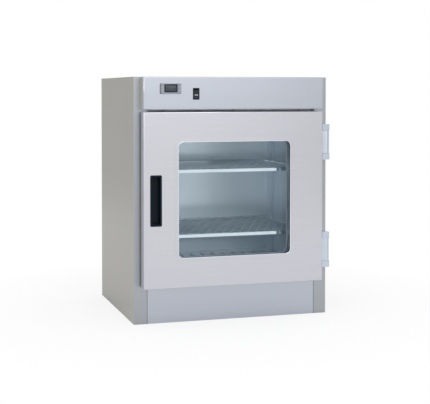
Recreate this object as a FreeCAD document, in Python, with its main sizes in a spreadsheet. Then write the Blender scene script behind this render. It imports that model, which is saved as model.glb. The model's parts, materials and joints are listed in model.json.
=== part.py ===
import FreeCAD
import Part
import Sketcher
import math
import os
import re
from FreeCAD import Rotation, Vector

# Blanket warming cabinet: a heated chamber with two shelves behind one glazed door.
# Millimetres. The origin is the centre of the base's underside, +Z is up, +Y is to the back, and
# +X is to the right of someone who faces the door.

SIZES = {
    # Outer casing
    "cab_width": 762.0,
    "cab_depth": 609.6,
    "cab_height": 914.4,
    "sheet_thick": 1.2,
    "stile_width": 49.5,
    "seam_gap": 1.5,
    "rear_flange": 20.0,
    "pan_flange": 25.0,
    "kick_height": 150.0,
    "kick_return": 20.0,
    "louvre_width": 40.0,
    "louvre_height": 6.0,
    "louvre_low": 25.0,
    "louvre_high": 60.0,
    # Control panel above the door
    "control_height": 119.7,
    "control_gap": 10.0,
    "edge_round": 2.5,
    "controller_inset": 126.0,
    "controller_drop": 43.9,
    "bezel_width": 78.0,
    "bezel_height": 35.0,
    "bezel_depth": 6.0,
    "bezel_round": 5.0,
    "bezel_ease": 1.2,
    "bezel_lap": 3.5,
    "display_width": 50.0,
    "display_height": 28.0,
    "display_depth": 4.5,
    "display_clear": 0.2,
    "key_width": 8.0,
    "key_height": 8.6,
    "key_spread": 32.0,
    "key_rise": 6.5,
    "key_proud": 1.2,
    "key_travel": 1.0,
    "key_gap": 0.3,
    "key_round": 1.0,
    "controller_depth": 62.0,
    "switch_inset": 223.2,
    "switch_drop": 62.7,
    "switch_width": 24.0,
    "switch_height": 42.7,
    "switch_flange": 2.5,
    "switch_depth": 24.0,
    "switch_lap": 1.8,
    "switch_end_lap": 2.15,
    "switch_round": 2.0,
    "switch_clear": 0.3,
    "rocker_width": 18.0,
    "rocker_half": 15.5,
    "rocker_tilt": 10.0,
    "rocker_pin": 2.0,
    "rocker_drop": 3.0,
    "rocker_rise": 6.0,
    "rocker_root": 3.0,
    "rocker_end_gap": 1.7,
    "rocker_room": 14.0,
    # Door
    "door_thick": 44.0,
    "door_bottom": 137.5,
    "door_gap": 12.0,
    "door_margin": 25.0,
    "hinge_margin": 37.0,
    "window_width": 438.0,
    "window_height": 428.0,
    "window_round": 18.0,
    "trim_width": 11.0,
    "trim_proud": 1.0,
    "glass_thick": 4.0,
    "glass_recess": 12.0,
    "glass_lap": 12.0,
    "gasket_inset": 12.0,
    "gasket_width": 12.5,
    "gasket_round": 16.0,
    "handle_inset": 46.0,
    "handle_width": 44.0,
    "handle_height": 188.0,
    "handle_rim": 7.0,
    "handle_lap": 3.0,
    "handle_round": 5.0,
    "handle_ease": 0.8,
    "handle_depth": 22.0,
    "handle_wall": 2.0,
    "handle_proud": 1.5,
    "cutout_clear": 0.2,
    "catch_height": 50.0,
    "catch_width": 9.0,
    "strike_thick": 1.6,
    # Hinges
    "hinge_spread": 413.0,
    "hinge_length": 135.0,
    "hinge_block": 24.0,
    "barrel_radius": 11.5,
    "block_radius": 11.0,
    "pin_radius": 4.0,
    "bush_wall": 2.5,
    "bush_length": 14.0,
    "hinge_offset": 20.0,
    "hinge_setback": 12.0,
    "arm_clear": 1.0,
    "arm_slope": 9.0,
    "arm_ease": 5.0,
    "arm_chamfer": 3.0,
    "web_front": 8.5,
    "web_back": 4.0,
    "wing_inset": 6.0,
    "door_screw_inset": 20.0,
    "frame_leaf_width": 28.0,
    "frame_leaf_thick": 4.0,
    "door_leaf_thick": 3.0,
    "running_gap": 0.05,
    "end_gap": 0.3,
    "screw_radius": 2.0,
    "screw_head": 4.2,
    "head_height": 2.5,
    # Chamber
    "side_wall": 62.0,
    "rear_space": 109.6,
    "chamber_floor": 141.5,
    "ceiling_drop": 169.4,
    "throat_floor": 185.0,
    "throat_lap": 4.7,
    "collar_depth": 25.0,
    "header_depth": 18.0,
    "insulation_rear": 50.0,
    "insulation_floor": 40.0,
    "soft_gap": 0.3,
    # Shelves
    "upper_shelf_level": 569.0,
    "lower_shelf_level": 325.0,
    "shelf_setback": 18.0,
    "shelf_rear_gap": 15.0,
    "shelf_sheet": 1.5,
    "shelf_lip": 13.6,
    "shelf_ledge": 12.0,
    "shelf_clear": 1.5,
    "mesh_long": 48.0,
    "mesh_short": 24.0,
    "mesh_strand": 3.2,
    "pilaster_width": 15.0,
    "pilaster_depth": 5.0,
    "pilaster_setback": 75.0,
    "slot_pitch": 25.0,
    "slot_width": 4.0,
    "slot_height": 12.0,
    "strip_end_gap": 10.0,
    "clip_reach": 14.0,
    "clip_thick": 3.0,
    "clip_width": 10.0,
    "hook_drop": 8.0,
    "hook_rise": 6.0,
    "rest_gap": 0.2,
    # Air heating below the chamber's slotted floor
    "grille_drop": 1.0,
    "air_slot_width": 8.0,
    "air_slot_length": 60.0,
    "fan_setback": 320.0,
    "wheel_radius": 70.0,
    "wheel_rise": 8.5,
    "blade_height": 18.5,
    "wheel_thick": 1.5,
    "shaft_radius": 4.0,
    "heater_ring": 100.0,
    "heater_tube": 4.0,
    "heater_rise": 18.5,
    "motor_radius": 42.0,
    "motor_base": 22.0,
    "motor_top": 88.0,
    "rotor_radius": 24.0,
    "bracket_thick": 2.0,
    "bracket_foot": 38.0,
    "bracket_web": 8.0,
    # Electrical compartment above the chamber
    "tray_drop": 118.4,
    "tray_lip": 20.0,
    "relay_width": 45.0,
    "relay_length": 58.0,
    "relay_height": 22.0,
    "relay_pad": 10.0,
    "limit_size": 36.0,
    "limit_height": 28.0,
    "gland_inset": 101.0,
    "gland_level": 60.0,
    "gland_bore": 4.6,
    "gland_body": 9.8,
    "gland_nut": 13.0,
    "gland_proud": 10.0,
    "gland_length": 16.0,
    "probe_radius": 3.0,
    "probe_reach": 55.0,
    "probe_drop": 45.0,
    "probe_inset": 120.0,
}
BLADES = 16
LOUVRES = 8
OVERSHOOT = 1.0  # how far a cutting tool passes the face that it cuts

document = FreeCAD.newDocument("BlanketWarmingCabinet")
sheet = document.addObject("Spreadsheet::Sheet", "Sizes")
for row, (alias, size) in enumerate(SIZES.items(), start=1):
    sheet.set(f"A{row}", alias)
    sheet.set(f"B{row}", str(size))
    sheet.setAlias(f"B{row}", alias)
document.recompute()

ALIASES = re.compile(r"\b(" + "|".join(sorted(SIZES, key=len, reverse=True)) + r")\b")
NODES = {}

# Planes that several pieces share, as formulas of the driving sizes
LEFT = "(-cab_width / 2)"
RIGHT = "(cab_width / 2)"
FACE = "(-cab_depth / 2)"
REAR = "(cab_depth / 2)"
BACK_SHEET = f"({REAR} - 2 * sheet_thick)"
INNER_LEFT = f"({LEFT} + sheet_thick)"
INNER_RIGHT = f"({RIGHT} - sheet_thick)"
FRAME_HALF = "(cab_width / 2 - stile_width - seam_gap)"
DOOR_LEFT = f"({LEFT} + door_margin)"
DOOR_RIGHT = f"({RIGHT} - hinge_margin)"
DOOR_TOP = "(cab_height - control_height - control_gap)"
DOOR_BACK = f"({FACE} - door_gap)"
DOOR_FRONT = f"({DOOR_BACK} - door_thick)"
DOOR_MID_X = f"(({DOOR_LEFT} + {DOOR_RIGHT}) / 2)"
DOOR_MID_Z = f"((door_bottom + {DOOR_TOP}) / 2)"
CONTROL_BOTTOM = "(cab_height - control_height)"
CHAMBER_HALF = "(cab_width / 2 - side_wall)"
CHAMBER_BACK = f"({REAR} - rear_space)"
CHAMBER_TOP = "(cab_height - ceiling_drop)"
COLLAR_HALF = f"({CHAMBER_HALF} - sheet_thick)"
COLLAR_TOP = f"({CHAMBER_TOP} - sheet_thick)"
WRAP_HALF = f"({CHAMBER_HALF} + sheet_thick + soft_gap)"
WRAP_BACK = f"({CHAMBER_BACK} + sheet_thick + soft_gap)"
TRAY_LEVEL = "(cab_height - tray_drop)"
INSULATION_BASE = "(chamber_floor - sheet_thick - soft_gap - insulation_floor)"
INSULATION_TOP = f"({TRAY_LEVEL} - soft_gap)"
HEATER_LEVEL = "(chamber_floor + heater_rise)"
WHEEL_BASE = "(chamber_floor + wheel_rise)"
GRILLE_LEVEL = "(throat_floor - grille_drop)"
THROAT_TOP = f"({DOOR_TOP} - throat_lap)"
PROBE_LEVEL = f"({CHAMBER_TOP} - probe_drop)"
SHELF_BACK = f"({CHAMBER_BACK} - shelf_rear_gap)"
GLASS_FRONT = f"({DOOR_FRONT} + glass_recess)"
GLASS_BACK = f"({DOOR_BACK} - sheet_thick)"
HINGE_X = f"({DOOR_RIGHT} + hinge_offset)"
HINGE_Y = f"({DOOR_FRONT} + hinge_setback)"
HANDLE_X = f"({DOOR_LEFT} + handle_inset)"
FAN_Y = f"({FACE} + fan_setback)"
GLAND_X = f"({LEFT} + gland_inset)"


def linked(formula):
    """The formula as the spreadsheet's cells know it."""
    return ALIASES.sub(r"Sizes.\1", str(formula))


def value(formula):
    return float(sheet.evalExpression(linked(formula)))


def bind(thing, prop, formula):
    thing.setExpression(prop, linked(formula))


def around(middle, width):
    """The two ends of a width that is centred on a place."""
    return f"({middle} - ({width}) / 2)", f"({middle} + ({width}) / 2)"


def node(name, shape):
    """Make an object the finished sub-part of this name."""
    shape.Label = name
    NODES[name] = shape
    return shape


def block(name, x, y, z):
    """A box between two places along each axis."""
    box = document.addObject("Part::Box", name)
    for size, place, (low, high) in (("Length", "x", x), ("Width", "y", y), ("Height", "z", z)):
        bind(box, size, f"({high}) - ({low})")
        bind(box, f"Placement.Base.{place}", low)
    return box


TURNS = {
    "x": Rotation(Vector(0, 1, 0), 90),
    "y": Rotation(Vector(1, 0, 0), -90),
    "z": Rotation(),
}


def rod(name, axis, start, length, radius):
    """A cylinder that runs from a start point along +X, +Y or +Z."""
    cylinder = document.addObject("Part::Cylinder", name)
    cylinder.Placement.Rotation = TURNS[axis]
    bind(cylinder, "Height", length)
    bind(cylinder, "Radius", radius)
    for place, formula in zip("xyz", start):
        bind(cylinder, f"Placement.Base.{place}", formula)
    return cylinder


def group(name, parts):
    compound = document.addObject("Part::Compound", name)
    compound.Links = parts
    return compound


def fuse(name, parts):
    union = document.addObject("Part::MultiFuse", name)
    union.Shapes = parts
    union.Refine = True
    return union


def cut(name, base, tools):
    """The base less one tool, or less several at once."""
    result = document.addObject("Part::Cut", name)
    result.Base = base
    result.Tool = tools[0] if len(tools) == 1 else fuse(f"{name}_tools", tools)
    return result


def rounded(name, base, radius, chosen):
    """The base with the chosen edges rounded."""
    document.recompute()
    size = value(radius)
    fillet = document.addObject("Part::Fillet", name)
    fillet.Base = base
    edges = base.Shape.Edges
    fillet.Edges = [(index, size, size) for index, edge in enumerate(edges, 1) if chosen(edge)]
    return fillet


def shell(name, x, y, z, opening, wall="sheet_thick", rounding=None):
    """A folded sheet box that is open on one side, such as "+y"."""
    outer = block(f"{name}_outer", x, y, z)
    if rounding:
        front = value(y[0])
        outer = rounded(f"{name}_soft", outer, rounding, lambda edge: lies_at(edge, "y", front))
    spans = []
    for axis, (low, high) in zip("xyz", (x, y, z)):
        low_wall = f"- {OVERSHOOT}" if opening == f"-{axis}" else f"+ {wall}"
        high_wall = f"+ {OVERSHOOT}" if opening == f"+{axis}" else f"- {wall}"
        spans.append((f"{low} {low_wall}", f"{high} {high_wall}"))
    return cut(name, outer, [block(f"{name}_inner", *spans)])


def lies_at(edge, axis, place):
    """Whether both ends of an edge lie at one place along an axis."""
    return all(abs(getattr(vertex.Point, axis) - place) < 0.01 for vertex in edge.Vertexes)


def reaches(edge, mid_x, mid_z, width, height):
    """Whether an edge reaches the outline of an upright rectangle."""
    box = edge.BoundBox
    across = max(abs(box.XMin - value(mid_x)), abs(box.XMax - value(mid_x)))
    up = max(abs(box.ZMin - value(mid_z)), abs(box.ZMax - value(mid_z)))
    return across > value(width) / 2 - 0.01 or up > value(height) / 2 - 0.01


# Sketched prisms ---------------------------------------------------------------------------------

def rect(u, v):
    return [(u[0], v[0]), (u[1], v[0]), (u[1], v[1]), (u[0], v[1])]


def place_point(sketch, geometry, point, label, u, v):
    """Hold a point of the sketch at two formulas from the origin."""
    for kind, formula, letter in (("DistanceX", u, "u"), ("DistanceY", v, "v")):
        constraint = Sketcher.Constraint(kind, -1, 1, geometry, point, value(formula))
        index = sketch.addConstraint(constraint)
        sketch.renameConstraint(index, f"{label}{letter}")
        bind(sketch, f"Constraints.{label}{letter}", formula)


def draw_polygon(sketch, label, points):
    first = sketch.GeometryCount
    places = [Vector(value(u), value(v), 0) for u, v in points]
    count = len(points)
    for index in range(count):
        line = Part.LineSegment(places[index], places[(index + 1) % count])
        sketch.addGeometry(line, False)
    for index in range(count):
        following = first + (index + 1) % count
        sketch.addConstraint(Sketcher.Constraint("Coincident", first + index, 2, following, 1))
    for index, (u, v) in enumerate(points):
        place_point(sketch, first + index, 1, f"{label}p{index}", u, v)


def draw_circle(sketch, label, u, v, radius):
    circle = Part.Circle(Vector(value(u), value(v), 0), Vector(0, 0, 1), value(radius))
    geometry = sketch.addGeometry(circle, False)
    place_point(sketch, geometry, 3, label, u, v)
    index = sketch.addConstraint(Sketcher.Constraint("Radius", geometry, value(radius)))
    sketch.renameConstraint(index, f"{label}r")
    bind(sketch, f"Constraints.{label}r", radius)


def draw_rounded(sketch, label, u, v, radius):
    """A rectangle with four equal round corners."""
    first = sketch.GeometryCount
    left, right, low, high = value(u[0]), value(u[1]), value(v[0]), value(v[1])
    size = value(radius)
    corners = [(right, low, -1, 1, 270), (right, high, -1, -1, 0),
               (left, high, 1, -1, 90), (left, low, 1, 1, 180)]
    ends = [((left + size, low), (right - size, low)), ((right, low + size), (right, high - size)),
            ((right - size, high), (left + size, high)), ((left, high - size), (left, low + size))]
    for (start, end), (cx, cy, sx, sy, angle) in zip(ends, corners):
        sketch.addGeometry(Part.LineSegment(Vector(*start, 0), Vector(*end, 0)), False)
        circle = Part.Circle(Vector(cx + sx * size, cy + sy * size, 0), Vector(0, 0, 1), size)
        arc = Part.ArcOfCircle(circle, math.radians(angle), math.radians(angle + 90))
        sketch.addGeometry(arc, False)
    for index in range(8):
        following = first + (index + 1) % 8
        sketch.addConstraint(Sketcher.Constraint("Tangent", first + index, 2, following, 1))
    for index in (0, 4):
        sketch.addConstraint(Sketcher.Constraint("Horizontal", first + index))
        sketch.addConstraint(Sketcher.Constraint("Vertical", first + index + 2))
    for index in (3, 5, 7):
        sketch.addConstraint(Sketcher.Constraint("Equal", first + 1, first + index))
    sides = (("DistanceX", 6, u[0]), ("DistanceX", 2, u[1]), ("DistanceY", 0, v[0]), ("DistanceY", 4, v[1]))
    for number, (kind, side, formula) in enumerate(sides):
        constraint = Sketcher.Constraint(kind, -1, 1, first + side, 1, value(formula))
        index = sketch.addConstraint(constraint)
        sketch.renameConstraint(index, f"{label}s{number}")
        bind(sketch, f"Constraints.{label}s{number}", formula)
    index = sketch.addConstraint(Sketcher.Constraint("Radius", first + 1, size))
    sketch.renameConstraint(index, f"{label}r")
    bind(sketch, f"Constraints.{label}r", radius)


def prism(name, plane, span, loops):
    """A body padded from one sketch: the first loop is its outline, the others are holes.

    The plane is XY, XZ or YZ, and the span is the two ends along the third axis.
    """
    body = document.addObject("PartDesign::Body", name)
    sketch = body.newObject("Sketcher::SketchObject", f"{name}_sketch")
    support = next(item for item in body.Origin.OriginFeatures if item.Role == f"{plane}_Plane")
    sketch.AttachmentSupport = [(support, "")]
    sketch.MapMode = "FlatFace"
    low, high = span
    bind(sketch, "AttachmentOffset.Base.z", f"-({high})" if plane == "XZ" else low)
    for number, loop in enumerate(loops):
        label = f"loop{number}"
        if isinstance(loop, list):
            draw_polygon(sketch, label, loop)
        elif len(loop) == 3 and isinstance(loop[0], str):
            draw_circle(sketch, label, *loop)
        else:
            draw_rounded(sketch, label, *loop)
    pad = body.newObject("PartDesign::Pad", f"{name}_pad")
    pad.Profile = sketch
    bind(pad, "Length", f"({high}) - ({low})")
    sketch.Visibility = False
    return body


def soften(body, radius, chosen):
    """Round the chosen edges of a body's last feature."""
    document.recompute()
    base = body.Tip
    fillet = body.newObject("PartDesign::Fillet", f"{body.Name}_round")
    names = [f"Edge{index}" for index, edge in enumerate(base.Shape.Edges, 1) if chosen(edge)]
    fillet.Base = (base, names)
    bind(fillet, "Radius", radius)
    return body


def screws(name, axis, places, head, shank):
    """Pan-head screws: each place is where the head's underside seats.

    The head and the shank are (start, length) along the axis, measured from that place.
    """
    made = []
    step = "xyz".index(axis)
    for number, place in enumerate(places):
        pieces = []
        for part, (start, length), radius in (("head", head, "screw_head"), ("shank", shank, "screw_radius")):
            origin = list(place)
            origin[step] = f"{origin[step]} + ({start})"
            pieces.append(rod(f"{name}_{part}{number}", axis, origin, length, radius))
        made.append(fuse(f"{name}_{number}", pieces))
    return group(name, made)


# Casing ------------------------------------------------------------------------------------------

def make_casing():
    for name, side, edge in (("left_side_panel", 1, LEFT), ("right_side_panel", -1, RIGHT)):
        def across(distance, side=side, edge=edge):
            return f"{edge} + {side} * ({distance})"
        stile_back, flange_front = f"{FACE} + sheet_thick", f"{REAR} - sheet_thick"
        profile = [
            (edge, FACE), (across("stile_width"), FACE), (across("stile_width"), stile_back),
            (across("sheet_thick"), stile_back), (across("sheet_thick"), flange_front),
            (across("rear_flange"), flange_front), (across("rear_flange"), REAR), (edge, REAR),
        ]
        panel = prism(f"{name}_fold", "XY", ("0", "cab_height"), [profile])
        if side < 0:
            holes = [rod(f"{name}_hole{number}", "y", (x, f"{FACE} - {OVERSHOOT}", z),
                         f"sheet_thick + {2 * OVERSHOOT}", "screw_radius + running_gap")
                     for number, (x, z) in enumerate(frame_screw_places())]
            panel = cut(f"{name}_drilled", panel, holes)
        node(name, panel)

    inside = (INNER_LEFT, INNER_RIGHT)
    depth = (f"{FACE} + sheet_thick", BACK_SHEET)
    node("top_panel", shell("top_pan", inside, depth, ("cab_height - pan_flange", "cab_height"), "-z"))
    node("base_pan", shell("base_tray", inside, depth, ("0", "pan_flange"), "+z"))

    louvres = []
    for number in range(LOUVRES):
        middle = f"(cab_width * {(number + 0.5) / LOUVRES - 0.5} * 0.6)"
        for tier, level in (("low", "pan_flange + louvre_low"), ("high", "cab_height - louvre_high")):
            louvres.append(block(f"louvre_{tier}{number}", around(middle, "louvre_width"),
                                 (f"{BACK_SHEET} - {OVERSHOOT}", f"{REAR} + {OVERSHOOT}"),
                                 (level, f"{level} + louvre_height")))
    gland_hole = rod("gland_hole", "y", (GLAND_X, f"{BACK_SHEET} - {OVERSHOOT}", "gland_level"),
                     f"sheet_thick + {2 * OVERSHOOT}", "gland_body + 0.2")
    sheet_back = block("back_sheet", inside, (BACK_SHEET, f"{REAR} - sheet_thick"), ("0", "cab_height"))
    node("back_panel", cut("back_cut", sheet_back, louvres + [gland_hole]))

    front_sheet = (FACE, f"{FACE} + sheet_thick")
    plate = block("kick_plate", (f"-{FRAME_HALF}", FRAME_HALF), front_sheet, ("0", "kick_height"))
    ledge = block("kick_ledge", (f"-{CHAMBER_HALF} + end_gap", f"{CHAMBER_HALF} - end_gap"),
                  (front_sheet[1], f"{FACE} + kick_return"), ("kick_height - sheet_thick", "kick_height"))
    node("kick_panel", fuse("kick_fold", [plate, ledge]))


# Control panel -----------------------------------------------------------------------------------

CONTROLLER_X = f"({LEFT} + controller_inset)"
CONTROLLER_Z = "(cab_height - controller_drop)"
SWITCH_X = f"({LEFT} + switch_inset)"
SWITCH_Z = "(cab_height - switch_drop)"
SWITCH_BODY = "(switch_width - 2 * switch_lap)"
SWITCH_BODY_TALL = "(switch_height - 2 * switch_end_lap)"
ROCKER_Y = f"({DOOR_FRONT} + rocker_drop)"
PANEL_SCREW_SPREAD = f"(({DOOR_RIGHT} - {DOOR_LEFT}) * 0.379)"


def make_control_panel():
    sheet_cut = (f"{DOOR_FRONT} - {OVERSHOOT}", f"{DOOR_FRONT} + sheet_thick + {OVERSHOOT}")
    screw_y = f"(({DOOR_FRONT} + {FACE}) / 2)"
    screw_places = [(f"{DOOR_MID_X} + ({step}) * {PANEL_SCREW_SPREAD}", screw_y, CONTROL_BOTTOM)
                    for step in (-1, 0, 1)]
    panel = shell("fascia", (DOOR_LEFT, DOOR_RIGHT), (DOOR_FRONT, FACE), (CONTROL_BOTTOM, "cab_height"),
                  "+y", rounding="edge_round")
    tools = [
        block("controller_hole", around(CONTROLLER_X, "bezel_width - 2 * bezel_lap"), sheet_cut,
              around(CONTROLLER_Z, "bezel_height - 2 * bezel_lap + 2")),
        block("switch_hole", around(SWITCH_X, f"{SWITCH_BODY} + 2 * switch_clear"), sheet_cut,
              around(SWITCH_Z, f"{SWITCH_BODY_TALL} + 2 * switch_clear")),
    ]
    for number, (x, y, z) in enumerate(screw_places):
        tools.append(rod(f"fascia_hole{number}", "z", (x, y, f"{z} - {OVERSHOOT}"),
                         f"sheet_thick + {2 * OVERSHOOT}", "screw_radius + running_gap"))
    node("control_panel", cut("fascia_cut", panel, tools))
    node("control_panel_screws", screws("fascia_screw", "z", screw_places, ("-head_height", "head_height"),
                                        ("0", "9")))

    bezel_face = f"({DOOR_FRONT} - bezel_depth)"
    display = (around(CONTROLLER_X, "display_width + 2 * display_clear"),
               around(CONTROLLER_Z, "display_height + 2 * display_clear"), "1")
    outline = (around(CONTROLLER_X, "bezel_width"), around(CONTROLLER_Z, "bezel_height"), "bezel_round")
    key_holes = []
    for across in (-1, 1):
        for up in (1, -1):
            x = f"({CONTROLLER_X} + ({across}) * key_spread)"
            z = f"({CONTROLLER_Z} + ({up}) * key_rise)"
            number = len(key_holes) + 1
            key_holes.append((around(x, "key_width + 2 * key_gap"), around(z, "key_height + 2 * key_gap"),
                              "key_round"))
            key = prism(f"key_pad{number}", "XZ",
                        (f"{bezel_face} - key_proud", f"{DOOR_FRONT} - key_travel - 0.2"),
                        [(around(x, "key_width"), around(z, "key_height"), "key_round")])
            node(f"controller_key_{number}", key)
    bezel = prism("bezel_ring", "XZ", (bezel_face, DOOR_FRONT), [outline, display] + key_holes)
    front = value(bezel_face)
    soften(bezel, "bezel_ease",
           lambda edge: lies_at(edge, "y", front) and reaches(edge, CONTROLLER_X, CONTROLLER_Z,
                                                              "bezel_width", "bezel_height"))
    node("controller_bezel", bezel)
    node("controller_display", prism("display_lens", "XZ", (f"{DOOR_FRONT} - display_depth", DOOR_FRONT),
                                     [(around(CONTROLLER_X, "display_width"),
                                       around(CONTROLLER_Z, "display_height"), "0.9")]))
    node("controller_body", block("controller_case", around(CONTROLLER_X, "bezel_width - 8"),
                                  (DOOR_FRONT, f"{DOOR_FRONT} + controller_depth"),
                                  around(CONTROLLER_Z, "bezel_height - 6")))

    flange = prism("switch_rim", "XZ", (f"{DOOR_FRONT} - switch_flange", DOOR_FRONT),
                   [(around(SWITCH_X, "switch_width"), around(SWITCH_Z, "switch_height"), "switch_round")])
    case = block("switch_case", around(SWITCH_X, SWITCH_BODY), (DOOR_FRONT, f"{DOOR_FRONT} + switch_depth"),
                 around(SWITCH_Z, SWITCH_BODY_TALL))
    pocket = block("switch_pocket", around(SWITCH_X, "rocker_width + 2 * switch_clear"),
                   (f"{DOOR_FRONT} - switch_flange - {OVERSHOOT}", f"{DOOR_FRONT} + rocker_room"),
                   around(SWITCH_Z, "2 * rocker_half + 2 * rocker_end_gap"))
    pin_length = f"({SWITCH_BODY} - 0.2)"
    pin_start = f"{SWITCH_X} - {pin_length} / 2"
    bore = rod("switch_bore", "x", (f"{pin_start} - {OVERSHOOT}", ROCKER_Y, SWITCH_Z),
               f"{pin_length} + {2 * OVERSHOOT}", "rocker_pin + running_gap")
    node("switch_housing", cut("switch_frame", fuse("switch_solid", [flange, case]), [pocket, bore]))

    tip = f"-rocker_rise - rocker_half * {math.tan(math.radians(value('rocker_tilt')))}"
    profile = [
        ("-rocker_rise", "0"), (tip, "rocker_half"), ("-1", "rocker_half - 0.5"),
        ("rocker_root", "2 * rocker_root"), ("rocker_root", "-2 * rocker_root"), ("-1", "0.5 - rocker_half"),
        (tip, "-rocker_half"),
    ]
    paddle = prism("rocker_paddle", "YZ", around("0", "rocker_width"), [profile])
    pins = rod("rocker_pins", "x", (f"-{pin_length} / 2", "0", "0"), pin_length, "rocker_pin")
    rocker = fuse("rocker", [paddle, pins])
    rocker.Placement.Rotation = Rotation(Vector(1, 0, 0), value("rocker_tilt"))
    for place, formula in zip("xyz", (SWITCH_X, ROCKER_Y, SWITCH_Z)):
        bind(rocker, f"Placement.Base.{place}", formula)
    node("power_rocker", rocker)


# Door --------------------------------------------------------------------------------------------

HINGE_LEVELS = {
    "upper": f"({DOOR_MID_Z} + hinge_spread / 2)",
    "lower": f"({DOOR_MID_Z} - hinge_spread / 2)",
}
HINGE_BARREL = "(hinge_length - 2 * hinge_block)"
DOOR_SCREW_Y = f"({HINGE_Y} + door_screw_inset)"


def screw_levels(level):
    """Heights of a hinge leaf's two screws."""
    return [f"({level} + ({step}) * {HINGE_BARREL} * 0.35)" for step in (-1, 1)]


def door_screw_places():
    return [(DOOR_SCREW_Y, z) for level in HINGE_LEVELS.values() for z in screw_levels(level)]


def frame_screw_places():
    return [(HINGE_X, z) for level in HINGE_LEVELS.values() for z in screw_levels(level)]


def window_loop(grow):
    """The window's outline, made larger by so much on each side."""
    return (around(DOOR_MID_X, f"window_width + 2 * ({grow})"),
            around(DOOR_MID_Z, f"window_height + 2 * ({grow})"), f"window_round + ({grow})")


def make_door():
    through = (f"{DOOR_FRONT} - 10", f"{DOOR_BACK} + 10")
    width, height = (DOOR_LEFT, DOOR_RIGHT), ("door_bottom", DOOR_TOP)
    inner_width = (f"{DOOR_LEFT} + sheet_thick", f"{DOOR_RIGHT} - sheet_thick")
    inner_height = ("door_bottom + sheet_thick", f"{DOOR_TOP} - sheet_thick")
    handle_body = "(handle_width - 2 * handle_lap)"
    handle_tall = "(handle_height - 2 * handle_lap)"

    skin = shell("door_pan", width, (DOOR_FRONT, DOOR_BACK), height, "+y", rounding="edge_round")
    tools = [
        prism("skin_window", "XZ", (through[0], f"{DOOR_FRONT} + 5"), [window_loop("0")]),
        block("skin_handle", around(HANDLE_X, f"{handle_body} + 2 * cutout_clear"),
              (through[0], f"{DOOR_FRONT} + 5"), around(DOOR_MID_Z, f"{handle_tall} + 2 * cutout_clear")),
    ]
    for number, (y, z) in enumerate(door_screw_places()):
        tools.append(rod(f"skin_hole{number}", "x", (f"{DOOR_RIGHT} - 5", y, z), "10",
                         "screw_radius + running_gap"))
    node("door_outer_skin", cut("skin_cut", skin, tools))
    inner = block("inner_sheet", inner_width, (GLASS_BACK, DOOR_BACK), inner_height)
    inner_window = prism("inner_window", "XZ", through, [window_loop("0")])
    node("door_inner_skin", cut("inner_cut", inner, [inner_window]))

    handle_back = f"({DOOR_FRONT} + handle_depth)"
    slab = block("door_slab", (f"{inner_width[0]} + soft_gap", f"{inner_width[1]} - soft_gap"),
                 (f"{DOOR_FRONT} + sheet_thick + soft_gap", f"{GLASS_BACK} - soft_gap"),
                 (f"{inner_height[0]} + soft_gap", f"{inner_height[1]} - soft_gap"))
    hollows = [
        prism("slab_window", "XZ", through, [window_loop("glass_lap + soft_gap")]),
        block("slab_handle", around(HANDLE_X, f"{handle_body} + 2 * soft_gap"),
              (through[0], f"{handle_back} + soft_gap"), around(DOOR_MID_Z, f"{handle_tall} + 2 * soft_gap")),
        block("slab_screws", (f"{DOOR_RIGHT} - 12", DOOR_RIGHT), around(DOOR_SCREW_Y, "8"), inner_height),
    ]
    node("door_insulation", cut("slab_cut", slab, hollows))

    pane = window_loop("glass_lap")
    spacer_front = f"({GLASS_FRONT} + glass_thick)"
    spacer_back = f"({GLASS_BACK} - glass_thick)"
    node("outer_glass", prism("outer_pane", "XZ", (GLASS_FRONT, spacer_front), [pane]))
    node("inner_glass", prism("inner_pane", "XZ", (spacer_back, GLASS_BACK), [pane]))
    node("glass_spacer", prism("spacer_ring", "XZ", (spacer_front, spacer_back), [pane, window_loop("2")]))
    node("window_gasket", prism("glazing_ring", "XZ", (f"{DOOR_FRONT} + sheet_thick", GLASS_FRONT),
                                [pane, window_loop("0.5")]))
    node("window_trim", prism("trim_ring", "XZ", (f"{DOOR_FRONT} - trim_proud", DOOR_FRONT),
                              [window_loop("trim_width"), window_loop("0")]))

    def gasket_edge(depth):
        return ((f"{DOOR_LEFT} + {depth}", f"{DOOR_RIGHT} - ({depth})"),
                (f"door_bottom + {depth}", f"{DOOR_TOP} - ({depth})"), f"gasket_round - ({depth}) / 2")
    node("door_gasket", prism("gasket_ring", "XZ", (DOOR_BACK, f"{FACE} - soft_gap"),
                              [gasket_edge("gasket_inset"), gasket_edge("gasket_inset + gasket_width")]))

    rim = prism("handle_flange", "XZ", (f"{DOOR_FRONT} - handle_proud", DOOR_FRONT),
                [(around(HANDLE_X, "handle_width"), around(DOOR_MID_Z, "handle_height"), "handle_round")])
    rim_front = value(f"{DOOR_FRONT} - handle_proud")
    soften(rim, "handle_ease", lambda edge: lies_at(edge, "y", rim_front))
    bowl = block("handle_bowl", around(HANDLE_X, handle_body), (DOOR_FRONT, handle_back),
                 around(DOOR_MID_Z, handle_tall))
    hollow = prism("handle_hollow", "XZ", (f"{DOOR_FRONT} - 5", f"{handle_back} - handle_wall"),
                   [(around(HANDLE_X, "handle_width - 2 * handle_rim"),
                     around(DOOR_MID_Z, "handle_height - 2 * handle_rim"), "handle_round + 1")])
    node("handle_cup", cut("handle_cut", fuse("handle_solid", [rim, bowl]), [hollow]))

    catch_x = (f"-{FRAME_HALF} + 1", f"-{FRAME_HALF} + 1 + catch_width")
    catch_z = around(DOOR_MID_Z, "catch_height")
    node("catch_magnet", block("magnet_case", catch_x,
                               (f"{DOOR_BACK} + strike_thick + end_gap", FACE), catch_z))
    node("strike_plate", block("strike", catch_x, (DOOR_BACK, f"{DOOR_BACK} + strike_thick"), catch_z))


# Hinges ------------------------------------------------------------------------------------------

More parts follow.
